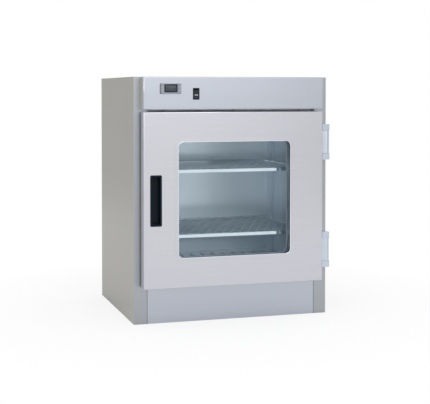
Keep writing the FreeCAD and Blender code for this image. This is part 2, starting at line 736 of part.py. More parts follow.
def hinge_arm(name, span):
    """An end block of the frame leaf: it fills the space beside the door, inside the door's sweep."""
    leaf_front = f"{FACE} - frame_leaf_thick"
    left, right = f"{HINGE_X} - hinge_offset + arm_clear", f"{HINGE_X} + block_radius"
    near = f"{HINGE_Y} - block_radius"
    outline = [
        (left, leaf_front), (left, f"{near} + arm_slope"), (f"{left} + arm_ease", near),
        (f"{right} - arm_chamfer", near), (right, f"{near} + arm_chamfer"), (right, leaf_front),
    ]
    return prism(name, "XY", span, [outline])


def make_frame_leaf(name, level, screw_places):
    low, high = around(level, "hinge_length")
    plate_span = (f"{FACE} - frame_leaf_thick", FACE)
    pieces = [
        block(f"{name}_frame_plate", around(HINGE_X, "frame_leaf_width"), plate_span, (low, high)),
        hinge_arm(f"{name}_low_arm", (low, f"{low} + hinge_block")),
        hinge_arm(f"{name}_high_arm", (f"{high} - hinge_block", high)),
    ]
    tools = [rod(f"{name}_eye_bore", "z", (HINGE_X, HINGE_Y, f"{low} - {OVERSHOOT}"),
                 f"hinge_length + {2 * OVERSHOOT}", "pin_radius + 0.02")]
    for number, (x, y, z) in enumerate(screw_places):
        tools.append(rod(f"{name}_frame_hole{number}", "y", (x, f"{y} - {OVERSHOOT}", z),
                         f"frame_leaf_thick + {2 * OVERSHOOT}", "screw_radius + running_gap"))
    node(f"{name}_hinge_frame_leaf", cut(f"{name}_frame_cut", fuse(f"{name}_frame_solid", pieces), tools))


def make_door_leaf(name, level, span, screw_places):
    """The barrel between the arms, its web and the wing on the door's edge."""
    leaf_edge = f"({DOOR_RIGHT} + door_leaf_thick)"
    web_front = f"{HINGE_Y} - web_front"
    pieces = [
        rod(f"{name}_barrel", "z", (HINGE_X, HINGE_Y, span[0]), f"{HINGE_BARREL} - 2 * end_gap",
            "barrel_radius"),
        block(f"{name}_web", (leaf_edge, HINGE_X), (web_front, f"{HINGE_Y} + web_back"), span),
        block(f"{name}_wing", (DOOR_RIGHT, leaf_edge), (web_front, f"{DOOR_BACK} - wing_inset"), span),
    ]
    tools = [rod(f"{name}_barrel_bore", "z", (HINGE_X, HINGE_Y, f"{level} - hinge_length / 2"),
                 "hinge_length", "pin_radius + bush_wall")]
    for number, (x, y, z) in enumerate(screw_places):
        tools.append(rod(f"{name}_wing_hole{number}", "x", (f"{DOOR_RIGHT} - 5", y, z), "12",
                         "screw_radius + running_gap"))
    node(f"{name}_hinge_door_leaf", cut(f"{name}_door_cut", fuse(f"{name}_door_solid", pieces), tools))


def make_hinges():
    frame_screws, door_screws, pins, bushes = [], [], [], []
    for name, level in HINGE_LEVELS.items():
        frame_places = [(HINGE_X, f"({FACE} - frame_leaf_thick)", z) for z in screw_levels(level)]
        make_frame_leaf(name, level, frame_places)
        frame_screws += frame_places

        span = around(level, f"{HINGE_BARREL} - 2 * end_gap")
        door_places = [(f"({DOOR_RIGHT} + door_leaf_thick)", DOOR_SCREW_Y, z) for z in screw_levels(level)]
        make_door_leaf(name, level, span, door_places)
        door_screws += door_places

        pins.append(rod(f"{name}_pin", "z", (HINGE_X, HINGE_Y, f"{level} - hinge_length / 2"), "hinge_length",
                        "pin_radius"))
        for end, start in (("low", span[0]), ("high", f"({span[1]} - bush_length)")):
            outer = rod(f"{name}_{end}_bush_outer", "z", (HINGE_X, HINGE_Y, start), "bush_length",
                        "pin_radius + bush_wall")
            inner = rod(f"{name}_{end}_bush_inner", "z", (HINGE_X, HINGE_Y, f"{start} - {OVERSHOOT}"),
                        f"bush_length + {2 * OVERSHOOT}", "pin_radius + running_gap")
            bushes.append(cut(f"{name}_{end}_bush", outer, [inner]))
    node("hinge_pins", group("pin_pair", pins))
    node("hinge_bushes", group("bush_set", bushes))
    node("hinge_frame_screws", screws("frame_screw", "y", frame_screws, ("-head_height", "head_height"),
                                      ("0", "14")))
    node("hinge_door_screws", screws("door_screw", "x", door_screws, ("0", "head_height"), ("-10", "10")))


# Chamber -----------------------------------------------------------------------------------------

PROBE_X = f"(-{CHAMBER_HALF} + probe_inset)"
HEATER_ENDS = (("heater_ring", FAN_Y), ("0", f"{FAN_Y} - heater_ring"))


def heater_holes(name, radius, low, high):
    return [rod(f"{name}{number}", "z", (x, y, low), f"({high}) - ({low})", radius)
            for number, (x, y) in enumerate(HEATER_ENDS)]


def make_chamber():
    front = f"({FACE} + sheet_thick)"
    wall = [
        (front, "chamber_floor - sheet_thick"),
        (f"{CHAMBER_BACK} + sheet_thick", "chamber_floor - sheet_thick"),
        (f"{CHAMBER_BACK} + sheet_thick", f"{CHAMBER_TOP} + sheet_thick"),
        (front, f"{CHAMBER_TOP} + sheet_thick"), (front, CHAMBER_TOP),
        (CHAMBER_BACK, CHAMBER_TOP), (CHAMBER_BACK, "chamber_floor"), (front, "chamber_floor"),
    ]
    wrap = prism("chamber_fold", "YZ", (f"-{CHAMBER_HALF}", CHAMBER_HALF), [wall])
    floor_span = (f"chamber_floor - sheet_thick - {OVERSHOOT}", f"chamber_floor + {OVERSHOOT}")
    holes = heater_holes("floor_heater_hole", "heater_tube + 0.5", *floor_span)
    holes.append(rod("floor_shaft_hole", "z", ("0", FAN_Y, floor_span[0]),
                     f"sheet_thick + {2 * OVERSHOOT}", "shaft_radius + 4"))
    holes.append(rod("wall_probe_hole", "y", (PROBE_X, f"{CHAMBER_BACK} - {OVERSHOOT}", PROBE_LEVEL),
                     f"sheet_thick + {2 * OVERSHOOT}", "probe_radius + 0.2"))
    node("chamber_wrapper", cut("chamber_cut", wrap, holes))
    sides = []
    for name, ends in (("left", (f"-{CHAMBER_HALF} - sheet_thick", f"-{CHAMBER_HALF}")),
                       ("right", (CHAMBER_HALF, f"{CHAMBER_HALF} + sheet_thick"))):
        sides.append(block(f"chamber_{name}", ends, (front, f"{CHAMBER_BACK} + sheet_thick"),
                           ("chamber_floor - sheet_thick", f"{CHAMBER_TOP} + sheet_thick")))
    node("chamber_side_walls", group("chamber_sides", sides))

    opening = rect((f"-{COLLAR_HALF} + sheet_thick", f"{COLLAR_HALF} - sheet_thick"),
                   ("throat_floor", f"{COLLAR_TOP} - sheet_thick"))
    outer = rect((f"-{FRAME_HALF}", FRAME_HALF), ("kick_height", THROAT_TOP))
    collar = rect((f"-{CHAMBER_HALF}", CHAMBER_HALF), ("throat_floor - sheet_thick", CHAMBER_TOP))
    ring = prism("throat_ring", "XZ", (FACE, front), [outer, opening])
    tube = prism("throat_collar", "XZ", (front, f"{FACE} + collar_depth"), [collar, opening])
    header_back = f"({FACE} + header_depth)"
    header_span = ((f"-{FRAME_HALF}", FRAME_HALF), (front, header_back),
                   (f"{THROAT_TOP} - sheet_thick", INSULATION_TOP))
    header = cut("header", block("header_box", *header_span), [
        block("header_room", (f"-{FRAME_HALF} + sheet_thick", f"{FRAME_HALF} - sheet_thick"),
              (f"{front} - {OVERSHOOT}", f"{header_back} - sheet_thick"),
              (THROAT_TOP, f"{INSULATION_TOP} + {OVERSHOOT}")),
    ])
    node("throat_frame", fuse("throat", [ring, tube, header]))

    wrap_width = (f"-{WRAP_HALF}", WRAP_HALF)
    batt_depth = (f"{front} + soft_gap", f"{WRAP_BACK} + insulation_rear")
    outer_half = f"({INNER_RIGHT} - soft_gap)"
    batt = [
        (f"-{outer_half}", INSULATION_BASE), (f"-{WRAP_HALF}", INSULATION_BASE),
        (f"-{WRAP_HALF}", f"{CHAMBER_TOP} + sheet_thick + soft_gap"),
        (WRAP_HALF, f"{CHAMBER_TOP} + sheet_thick + soft_gap"), (WRAP_HALF, INSULATION_BASE),
        (outer_half, INSULATION_BASE), (outer_half, INSULATION_TOP), (f"-{outer_half}", INSULATION_TOP),
    ]
    screw_slots = block("batt_screw_slot", around(HINGE_X, "8"), (FACE, f"{FACE} + 20"),
                        (INSULATION_BASE, INSULATION_TOP))
    header_slot = block("batt_header_slot", (f"-{FRAME_HALF} - soft_gap", f"{FRAME_HALF} + soft_gap"),
                        (FACE, f"{header_back} + soft_gap"),
                        (f"{THROAT_TOP} - sheet_thick - soft_gap", f"{INSULATION_TOP} + {OVERSHOOT}"))
    node("chamber_insulation", cut("batt_cut", prism("batt_fold", "XZ", batt_depth, [batt]),
                                   [screw_slots, header_slot]))
    shrunk = (f"-{WRAP_HALF} + soft_gap", f"{WRAP_HALF} - soft_gap")
    floor_slab = block("floor_slab", shrunk, (batt_depth[0], f"{WRAP_BACK} - 2 * soft_gap"),
                       (INSULATION_BASE, "chamber_floor - sheet_thick - soft_gap"))
    slab_span = (f"{INSULATION_BASE} - {OVERSHOOT}", "chamber_floor")
    slab_tools = heater_holes("slab_heater_hole", "heater_tube + 1", *slab_span)
    slab_tools.append(rod("slab_shaft_hole", "z", ("0", FAN_Y, slab_span[0]),
                          f"{slab_span[1]} - ({slab_span[0]})", "shaft_radius + 10"))
    node("floor_insulation", cut("floor_slab_cut", floor_slab, slab_tools))
    rear_slab = block("rear_slab", shrunk, (WRAP_BACK, f"{WRAP_BACK} + insulation_rear"),
                      (INSULATION_BASE, f"{CHAMBER_TOP} + sheet_thick"))
    probe_room = rod("slab_probe_hole", "y", (PROBE_X, f"{WRAP_BACK} - {OVERSHOOT}", PROBE_LEVEL),
                     f"insulation_rear + {2 * OVERSHOOT}", "probe_radius + 0.5")
    node("rear_insulation", cut("rear_slab_cut", rear_slab, [probe_room]))


# Shelves -----------------------------------------------------------------------------------------

SHELF_FRONT = f"({FACE} + shelf_setback)"
SHELF_HALF = f"({CHAMBER_HALF} - pilaster_depth - shelf_clear)"
PILASTER_FACE = f"({CHAMBER_HALF} - pilaster_depth)"


def expanded_mesh(name, level):
    """Flat expanded-metal sheet: a plate with staggered diamond holes."""
    half = value(f"{SHELF_HALF} - shelf_sheet")
    front = value(f"{SHELF_FRONT} + shelf_sheet")
    back = value(f"{SHELF_BACK} - shelf_sheet")
    long_pitch, short_pitch, strand = value("mesh_long"), value("mesh_short"), value("mesh_strand")
    rim = value("shelf_ledge") * 0.5
    columns = int((2 * half - 2 * rim) / long_pitch)
    rows = int((back - front - 2 * rim) / short_pitch)
    middle = (front + back) / 2
    reach_x, reach_y = long_pitch / 2 - strand, short_pitch / 2 - strand / 2
    outline = [(-half, front), (half, front), (half, back), (-half, back), (-half, front)]
    wires = [Part.makePolygon([Vector(x, y, 0) for x, y in outline])]
    for row in range(2 * rows - 1):
        stagger = row % 2
        for column in range(columns - stagger):
            x = (column - (columns - 1 - stagger) / 2) * long_pitch
            y = middle + (row - (rows - 1)) * short_pitch / 2
            corners = [(x - reach_x, y), (x, y + reach_y), (x + reach_x, y), (x, y - reach_y),
                       (x - reach_x, y)]
            wires.append(Part.makePolygon([Vector(u, v, 0) for u, v in corners]))
    face = Part.Face(wires)
    mesh = document.addObject("Part::Feature", name)
    thick = value("shelf_sheet")
    mesh.Shape = face.extrude(Vector(0, 0, thick))
    mesh.Placement.Base = Vector(0, 0, value(level) - 2 * thick)
    return mesh


def make_shelves():
    for name, level in (("upper", "upper_shelf_level"), ("lower", "lower_shelf_level")):
        depth = (SHELF_FRONT, SHELF_BACK)
        rim = shell(f"{name}_rim", (f"-{SHELF_HALF}", SHELF_HALF), depth, (f"{level} - shelf_lip", level),
                    "-z", wall="shelf_sheet")
        window = block(f"{name}_rim_window", (f"-{SHELF_HALF} + shelf_ledge", f"{SHELF_HALF} - shelf_ledge"),
                       (f"{SHELF_FRONT} + shelf_ledge", f"{SHELF_BACK} - shelf_ledge"),
                       (f"{level} - 5", f"{level} + 5"))
        frame = cut(f"{name}_rim_cut", rim, [window])
        node(f"{name}_shelf", group(f"{name}_shelf_set", [frame, expanded_mesh(f"{name}_mesh", level)]))

    slots = int(value(f"({CHAMBER_TOP} - throat_floor - 60) / slot_pitch"))
    strips, clips = [], []
    for side in (-1, 1):
        def across(near, far, side=side):
            ends = (f"({side}) * ({near})", f"({side}) * ({far})")
            return ends if side > 0 else ends[::-1]
        wall = across(PILASTER_FACE, CHAMBER_HALF)
        for end, y in (("front", f"({FACE} + pilaster_setback)"),
                       ("back", f"({CHAMBER_BACK} - pilaster_setback)")):
            name = f"{end}{'right' if side > 0 else 'left'}"
            strip = block(f"strip_{name}", wall, around(y, "pilaster_width"),
                          (f"{GRILLE_LEVEL} + strip_end_gap", f"{CHAMBER_TOP} - strip_end_gap"))
            holes = [block(f"slot_{name}{number}", wall, around(y, "slot_width"),
                           around(f"(throat_floor + 30 + {number} * slot_pitch)", "slot_height"))
                     for number in range(slots)]
            strips.append(cut(f"strip_cut_{name}", strip, holes))
            for shelf, level in (("upper", "upper_shelf_level"), ("lower", "lower_shelf_level")):
                seat = f"({level} - shelf_lip - rest_gap)"
                tab = block(f"tab_{shelf}_{name}", across(f"{PILASTER_FACE} - clip_reach", PILASTER_FACE),
                            around(y, "clip_width"), (f"{seat} - clip_thick", seat))
                hook = block(f"hook_{shelf}_{name}", across(f"{PILASTER_FACE} - 1", PILASTER_FACE),
                             around(y, "clip_width"),
                             (f"{seat} - clip_thick - hook_drop", f"{seat} + hook_rise"))
                clips.append(fuse(f"clip_{shelf}_{name}", [tab, hook]))
    node("shelf_pilasters", group("strip_set", strips))
    node("shelf_clips", group("clip_set", clips))


# Air heating -------------------------------------------------------------------------------------

def make_air_heating():
    half = f"({CHAMBER_HALF} - 2)"
    legs = [f"({FACE} + collar_depth + 5)", f"({CHAMBER_BACK} - 3)"]
    top, under = f"({GRILLE_LEVEL} + sheet_thick - 0.5)", f"({GRILLE_LEVEL} - 0.5)"
    inside = (f"{legs[0]} + sheet_thick", f"{legs[1]} - sheet_thick")
    fold = [
        (legs[0], "chamber_floor"), (inside[0], "chamber_floor"), (inside[0], under), (inside[1], under),
        (inside[1], "chamber_floor"), (legs[1], "chamber_floor"), (legs[1], top), (legs[0], top),
    ]
    plate = prism("grille_fold", "YZ", (f"-{half}", half), [fold])
    slots = []
    for column in range(13):
        for row in range(4):
            x = f"({CHAMBER_HALF} * {(column - 6) * 0.14:.2f})"
            y = f"(({FACE} + {CHAMBER_BACK}) / 2 + {row - 1.5} * ({CHAMBER_BACK} - {FACE}) * 0.2)"
            slots.append(block(f"air_slot{column}_{row}", around(x, "air_slot_width"),
                               around(y, "air_slot_length"),
                               (f"{under} - {OVERSHOOT}", f"{top} + {OVERSHOOT}")))
    node("air_grille", cut("grille_cut", plate, slots))

    ring = document.addObject("Part::Torus", "heater_loop")
    bind(ring, "Radius1", "heater_ring")
    bind(ring, "Radius2", "heater_tube")
    ring.Angle3 = 270
    bind(ring, "Placement.Base.y", FAN_Y)
    bind(ring, "Placement.Base.z", HEATER_LEVEL)
    lead_base = f"({INSULATION_BASE} - 8)"
    pieces = [ring]
    for number, (x, y) in enumerate(HEATER_ENDS):
        pieces.append(rod(f"heater_lead{number}", "z", (x, y, lead_base), f"{HEATER_LEVEL} - {lead_base}",
                          "heater_tube"))
        elbow = document.addObject("Part::Sphere", f"heater_elbow{number}")
        bind(elbow, "Radius", "heater_tube")
        for place, formula in zip("xyz", (x, y, HEATER_LEVEL)):
            bind(elbow, f"Placement.Base.{place}", formula)
        pieces.append(elbow)
    node("heater_element", fuse("heater_solid", pieces))
    posts = []
    for number, (x, y) in enumerate(((0, 1), (-1, 0), (-0.7071, -0.7071))):
        posts.append(block(f"heater_post{number}", around(f"({x}) * heater_ring", "8"),
                           around(f"({FAN_Y} + ({y}) * heater_ring)", "8"),
                           ("chamber_floor", f"{HEATER_LEVEL} - heater_tube - rest_gap")))
    node("heater_posts", group("post_set", posts))

    hub_base = f"({WHEEL_BASE} - 4)"
    blade_base = f"({WHEEL_BASE} + wheel_thick)"
    wheel_top = f"({blade_base} + blade_height)"
    hub = rod("wheel_hub", "z", ("0", FAN_Y, hub_base), f"{wheel_top} - {hub_base}", "shaft_radius + 6")
    disc = rod("wheel_disc", "z", ("0", FAN_Y, WHEEL_BASE), "wheel_thick", "wheel_radius")
    blades = []
    for number in range(BLADES):
        angle = 360.0 * number / BLADES
        blade = document.addObject("Part::Box", f"blade{number}")
        bind(blade, "Length", "wheel_radius * 0.55")
        blade.Width = 1.2
        bind(blade, "Height", "blade_height")
        turn = math.radians(angle)
        blade.Placement.Rotation = Rotation(Vector(0, 0, 1), angle)
        bind(blade, "Placement.Base.x", f"wheel_radius * {0.43 * math.cos(turn):.6f}")
        bind(blade, "Placement.Base.y", f"{FAN_Y} + wheel_radius * {0.43 * math.sin(turn):.6f}")
        bind(blade, "Placement.Base.z", blade_base)
        blades.append(blade)
    bore = rod("wheel_bore", "z", ("0", FAN_Y, f"{hub_base} - {OVERSHOOT}"),
               f"{wheel_top} - {hub_base} + {2 * OVERSHOOT}", "shaft_radius + 0.02")
    node("fan_wheel", cut("wheel_cut", fuse("wheel_solid", [hub, disc] + blades), [bore]))

    shaft = rod("motor_shaft", "z", ("0", FAN_Y, "motor_base + 1"), f"{wheel_top} - motor_base - 1",
                "shaft_radius")
    rotor = rod("motor_rotor", "z", ("0", FAN_Y, "motor_base + 18"), "motor_top - motor_base - 32",
                "rotor_radius")
    node("fan_shaft", fuse("shaft_solid", [shaft, rotor]))
    can = rod("motor_can", "z", ("0", FAN_Y, "motor_base"), "motor_top - motor_base", "motor_radius")
    nose = rod("motor_nose", "z", ("0", FAN_Y, "motor_top"), "8", "shaft_radius + 8")
    room = rod("motor_room", "z", ("0", FAN_Y, "motor_base + 14"), "motor_top - motor_base - 24",
               "rotor_radius + 2")
    seat = rod("motor_bore", "z", ("0", FAN_Y, f"motor_base - {OVERSHOOT}"),
               f"motor_top - motor_base + 8 + {2 * OVERSHOOT}", "shaft_radius + 4")
    node("fan_motor", cut("motor_cut", fuse("motor_solid", [can, nose]), [room, seat]))
    bushes = []
    for end, base in (("low", "motor_base + 2"), ("high", "motor_top - 2")):
        outer = rod(f"motor_bush_{end}", "z", ("0", FAN_Y, base), "9", "shaft_radius + 4")
        inner = rod(f"motor_bush_{end}_bore", "z", ("0", FAN_Y, f"{base} - {OVERSHOOT}"),
                    f"9 + {2 * OVERSHOOT}", "shaft_radius + running_gap")
        bushes.append(cut(f"motor_bush_{end}_cut", outer, [inner]))
    node("motor_bushes", group("motor_bush_set", bushes))

    foot, web = "(motor_radius + bracket_foot)", "(motor_radius + bracket_web)"
    web_out = f"({web} + bracket_thick)"
    rise = "(sheet_thick + bracket_thick)"
    hat = [
        (f"-{foot}", "sheet_thick"), (f"-{web}", "sheet_thick"), (f"-{web}", "motor_base - bracket_thick"),
        (web, "motor_base - bracket_thick"), (web, "sheet_thick"), (foot, "sheet_thick"), (foot, rise),
        (web_out, rise), (web_out, "motor_base"), (f"-{web_out}", "motor_base"), (f"-{web_out}", rise),
        (f"-{foot}", rise),
    ]
    node("motor_bracket", prism("bracket_hat", "XZ", around(FAN_Y, "2 * motor_radius"), [hat]))


# Electrical parts --------------------------------------------------------------------------------

def make_electrical():
    tray_depth = (f"{FACE} + 60", f"{WRAP_BACK} + insulation_rear")
    node("electrical_tray", shell("tray", (INNER_LEFT, INNER_RIGHT), tray_depth,
                                  (TRAY_LEVEL, f"{TRAY_LEVEL} + tray_lip"), "+z"))
    floor = f"({TRAY_LEVEL} + sheet_thick)"
    relay_x, limit_x = "-cab_width * 0.25", "cab_width * 0.1"
    relay_top = f"{floor} + relay_height"
    pieces = [block("relay_base", around(relay_x, "relay_width"), around("0", "relay_length"),
                    (floor, relay_top))]
    for number, (x, y) in enumerate(((-14, -22), (14, -22), (-14, 22), (14, 22))):
        pieces.append(block(f"relay_pad{number}", around(f"{relay_x} + ({x})", "relay_pad"),
                            around(f"0 + ({y})", "relay_pad"), (relay_top, f"{relay_top} + relay_pad / 2")))
    node("heater_relay", fuse("relay", pieces))
    limit_top = f"{floor} + limit_height"
    case = block("limit_case", around(limit_x, "limit_size"), around("0", "limit_size"), (floor, limit_top))
    stem = rod("limit_stem", "z", (limit_x, "0", limit_top), "9", "5")
    node("limit_thermostat", fuse("limit", [case, stem]))

    gland_end = f"({BACK_SHEET} - gland_length)"
    panel_face = f"({REAR} - sheet_thick)"
    body = rod("gland_tube", "y", (GLAND_X, gland_end, "gland_level"), f"{panel_face} - {gland_end}",
               "gland_body")
    flange = rod("gland_cap", "y", (GLAND_X, panel_face, "gland_level"), "gland_proud", "gland_nut")
    nut = rod("gland_locknut", "y", (GLAND_X, f"{BACK_SHEET} - 5", "gland_level"), "5", "gland_nut")
    bore = rod("gland_hole_through", "y", (GLAND_X, f"{gland_end} - {OVERSHOOT}", "gland_level"),
               f"{panel_face} - {gland_end} + gland_proud + {2 * OVERSHOOT}", "gland_bore")
    node("cord_gland", cut("gland", fuse("gland_solid", [body, flange, nut]), [bore]))

    sheath = rod("probe_sheath", "y", (PROBE_X, f"{CHAMBER_BACK} - probe_reach", PROBE_LEVEL),
                 f"probe_reach + insulation_rear + 15", "probe_radius")
    collar = rod("probe_nut", "y", (PROBE_X, f"{CHAMBER_BACK} - 5", PROBE_LEVEL), "5", "probe_radius + 4")
    node("temperature_probe", fuse("probe", [sheath, collar]))


make_casing()
make_control_panel()
make_door()
make_hinges()
make_chamber()
make_shelves()
make_air_heating()
make_electrical()
document.recompute()

for item in document.Objects:
    if {"Invalid", "Error"} & set(item.State):
        raise RuntimeError(f"{item.Name} did not compute: {item.State}")
for name, item in NODES.items():
    if item.Shape.isNull() or not item.Shape.isValid() or not item.Shape.Solids:
        raise RuntimeError(f"{name} has no valid solid")

os.makedirs("parts", exist_ok=True)
for name, item in NODES.items():
    item.Shape.exportStep(f"parts/{name}.step")
print(len(NODES), "sub-parts written")
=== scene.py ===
import json
import math

import bmesh
import bpy
from mathutils import Matrix, Vector

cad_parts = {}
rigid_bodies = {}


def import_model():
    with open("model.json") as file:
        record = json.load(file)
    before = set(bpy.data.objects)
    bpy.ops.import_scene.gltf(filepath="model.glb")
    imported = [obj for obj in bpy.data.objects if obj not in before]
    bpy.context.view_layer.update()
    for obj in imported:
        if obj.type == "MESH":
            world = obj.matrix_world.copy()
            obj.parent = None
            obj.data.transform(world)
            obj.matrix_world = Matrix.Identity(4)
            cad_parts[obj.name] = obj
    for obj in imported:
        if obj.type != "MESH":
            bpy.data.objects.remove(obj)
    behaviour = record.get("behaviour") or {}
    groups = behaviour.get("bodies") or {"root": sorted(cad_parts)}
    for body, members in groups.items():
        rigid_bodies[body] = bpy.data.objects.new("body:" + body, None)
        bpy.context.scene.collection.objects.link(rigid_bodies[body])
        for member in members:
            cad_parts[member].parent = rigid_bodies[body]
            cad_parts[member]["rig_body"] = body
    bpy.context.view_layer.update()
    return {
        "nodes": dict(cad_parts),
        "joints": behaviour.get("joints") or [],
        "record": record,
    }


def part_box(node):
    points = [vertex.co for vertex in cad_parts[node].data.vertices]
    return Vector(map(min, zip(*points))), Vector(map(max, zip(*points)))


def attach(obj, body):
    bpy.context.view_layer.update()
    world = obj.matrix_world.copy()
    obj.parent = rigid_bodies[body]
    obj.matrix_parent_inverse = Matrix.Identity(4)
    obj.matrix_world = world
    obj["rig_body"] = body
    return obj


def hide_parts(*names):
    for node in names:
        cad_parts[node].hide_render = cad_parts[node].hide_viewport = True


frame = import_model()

# Looks for the blanket warming cabinet: stainless sheet, a tinted window, mesh shelves, black and
# silver plastic. Metres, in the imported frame: +Z up, the door faces -Y.


# Node helpers ------------------------------------------------------------------------------------

class Nodes:
    """The node tree of a material or a world, with short calls for the nodes that they share."""

    def __init__(self, owner):
        self.owner = owner
        owner.use_nodes = True
        self.tree = owner.node_tree
        self.tree.nodes.clear()

    def add(self, kind, **settings):
        made = self.tree.nodes.new(kind)
        for key, setting in settings.items():
            if key in made.inputs:
                made.inputs[key].default_value = setting
            else:
                setattr(made, key, setting)
        return made

    def link(self, start, end):
        self.tree.links.new(start, end)

    def place(self, scale):
        """Object coordinates, stretched."""
        mapping = self.add("ShaderNodeMapping", Scale=scale)
        self.link(self.add("ShaderNodeTexCoord").outputs["Object"], mapping.inputs["Vector"])
        return mapping.outputs["Vector"]

    def noise(self, scale, detail, roughness=0.5):
        """Noise with its own scale along each axis, in changes per metre."""
        made = self.add("ShaderNodeTexNoise", Scale=1.0, Detail=detail, Roughness=roughness)
        self.link(self.place(scale), made.inputs["Vector"])
        return made.outputs["Fac"]

    def span(self, fac, low, high, from_low=0.3, from_high=0.7):
        """Map one range of values to another, and hold them at its ends."""
        made = self.add("ShaderNodeMapRange")
        self.link(fac, made.inputs["Value"])
        for index, setting in zip((1, 2, 3, 4), (from_low, from_high, low, high)):
            made.inputs[index].default_value = setting
        return made.outputs["Result"]

    def blend(self, fac, first, second):
        """Mix two colours, each of them a plain one or another node's."""
        made = self.add("ShaderNodeMix", data_type="RGBA")
        self.link(fac, made.inputs[0])
        for socket, colour in ((made.inputs[6], first), (made.inputs[7], second)):
            if isinstance(colour, tuple):
                socket.default_value = (*colour, 1.0)
            else:
                self.link(colour, socket)
        return made.outputs[2]

    def sum_or_product(self, operation, first, second):
        made = self.add("ShaderNodeMath", operation=operation, use_clamp=True)
        self.link(first, made.inputs[0])
        self.link(second, made.inputs[1])
        return made.outputs[0]

    def rays(self, *kinds):
        """One for rays of these kinds, and nought for all others."""
        path = self.add("ShaderNodeLightPath")
        total = path.outputs[kinds[0]]
        for kind in kinds[1:]:
            total = self.sum_or_product("ADD", total, path.outputs[kind])
        return total

    def mix_shaders(self, fac, first, second):
        made = self.add("ShaderNodeMixShader")
        for socket, start in zip(made.inputs, (fac, first.outputs[0], second.outputs[0])):
            self.link(start, socket)
        return made

    def surface(self, tone, roughness, height, strength, depth, **settings):
        """A principled surface with a colour, a roughness and a fine relief from other nodes."""
        shader = self.add("ShaderNodeBsdfPrincipled", **settings)
        self.link(tone, shader.inputs["Base Color"])
        if isinstance(roughness, float):
            shader.inputs["Roughness"].default_value = roughness
        else:
            self.link(roughness, shader.inputs["Roughness"])
        relief = self.add("ShaderNodeBump", Strength=strength, Distance=depth)
        self.link(height, relief.inputs["Height"])
        self.link(relief.outputs["Normal"], shader.inputs["Normal"])
        return shader

    def finish(self, shader):
        owner_kind = "World" if isinstance(self.owner, bpy.types.World) else "Material"
        output = self.add(f"ShaderNodeOutput{owner_kind}")
        self.link(shader.outputs[0], output.inputs["Surface"])
        return self.owner


def new_material(name):
    return Nodes(bpy.data.materials.new(name))


def scaled(colour, factor):
    return tuple(min(1.0, channel * factor) for channel in colour)


# The axes that each grain runs across, and how often it changes per metre across and along its lines.
GRAIN_ACROSS = {"wall": "z", "top": "y", "upright": "xy"}
FINE_ACROSS, FINE_ALONG = 900.0, 6.0
COARSE_ACROSS, COARSE_ALONG, COARSE_SHARE = 160.0, 1.8, 0.22
COOL_TINT = (0.95, 0.965, 0.98)


def brushed_steel(name, colour, roughness, flow="wall", grain=1.0, bump=0.035, anisotropic=0.55,
                  metallic=1.0):
    """Stainless sheet with a fine grain, faint waves and soft handling marks."""
    nodes = new_material(name)
    crossed = [axis in GRAIN_ACROSS[flow] for axis in "xyz"]
    fine = tuple(FINE_ACROSS if across else FINE_ALONG for across in crossed)
    coarse = tuple(COARSE_ACROSS if across else COARSE_ALONG for across in crossed)
    both = nodes.add("ShaderNodeMix", data_type="FLOAT")
    both.inputs[0].default_value = COARSE_SHARE
    nodes.link(nodes.noise(fine, detail=3.0), both.inputs[2])
    nodes.link(nodes.noise(coarse, detail=2.0), both.inputs[3])
    grain_value = both.outputs[0]
    streaked = nodes.blend(nodes.span(grain_value, 0.0, 1.0, 0.35, 0.65),
                           scaled(colour, 1 - 0.035 * grain), scaled(colour, 1 + 0.03 * grain))
    cooler = tuple(channel * factor for channel, factor in zip(colour, COOL_TINT))
    wave = nodes.noise((1.6, 1.6, 2.2), detail=1.0)
    tone = nodes.blend(nodes.span(wave, 0.0, 0.35, 0.35, 0.7), streaked, cooler)
    sheen = nodes.span(grain_value, roughness - 0.025 * grain, roughness + 0.03 * grain)
    shader = nodes.surface(tone, sheen, grain_value, bump, 0.0004, Metallic=metallic, Anisotropic=anisotropic)
    along = nodes.add("ShaderNodeVectorMath", operation="CROSS_PRODUCT")
    # The small lean keeps the cross product from vanishing on level faces.
    along.inputs[1].default_value = (0.0, 1.0, 0.0) if flow == "top" else (0.0, 0.02, 1.0)
    nodes.link(nodes.add("ShaderNodeNewGeometry").outputs["Normal"], along.inputs[0])
    nodes.link(along.outputs["Vector"], shader.inputs["Tangent"])
    return nodes.finish(shader)


def plain_metal(name, colour, roughness, mottle=0.08, size=400.0, metallic=1.0):
    """Cast, plated or turned metal with a fine mottle."""
    nodes = new_material(name)
    speck = nodes.noise((size,) * 3, detail=4.0)
    patch = nodes.noise((25.0,) * 3, detail=2.0)
    tone = nodes.blend(nodes.span(patch, 0.0, 1.0), scaled(colour, 1 - mottle), colour)
    sheen = nodes.span(speck, roughness - 0.05, roughness + 0.07)
    return nodes.finish(nodes.surface(tone, sheen, speck, 0.12, 0.0003, Metallic=metallic))


def galvanised(name, colour, roughness):
    """Zinc-coated sheet with its flat frost-like crystals."""
    nodes = new_material(name)
    crystals = nodes.add("ShaderNodeTexVoronoi", Scale=75.0)
    nodes.link(nodes.place((1.0, 1.0, 1.0)), crystals.inputs["Vector"])
    shade = nodes.add("ShaderNodeSeparateColor")
    nodes.link(crystals.outputs["Color"], shade.inputs[0])
    spangle = nodes.blend(nodes.span(shade.outputs[0], 0.0, 1.0, 0.0, 1.0),
                          scaled(colour, 0.86), scaled(colour, 1.10))
    patch = nodes.noise((3.0,) * 3, detail=2.0)
    tone = nodes.blend(nodes.span(patch, 0.0, 0.5), spangle, scaled(colour, 0.92))
    sheen = nodes.span(shade.outputs[1], roughness - 0.06, roughness + 0.10, 0.0, 1.0)
    fine = nodes.noise((500.0,) * 3, detail=3.0)
    return nodes.finish(nodes.surface(tone, sheen, fine, 0.08, 0.0003, Metallic=1.0))


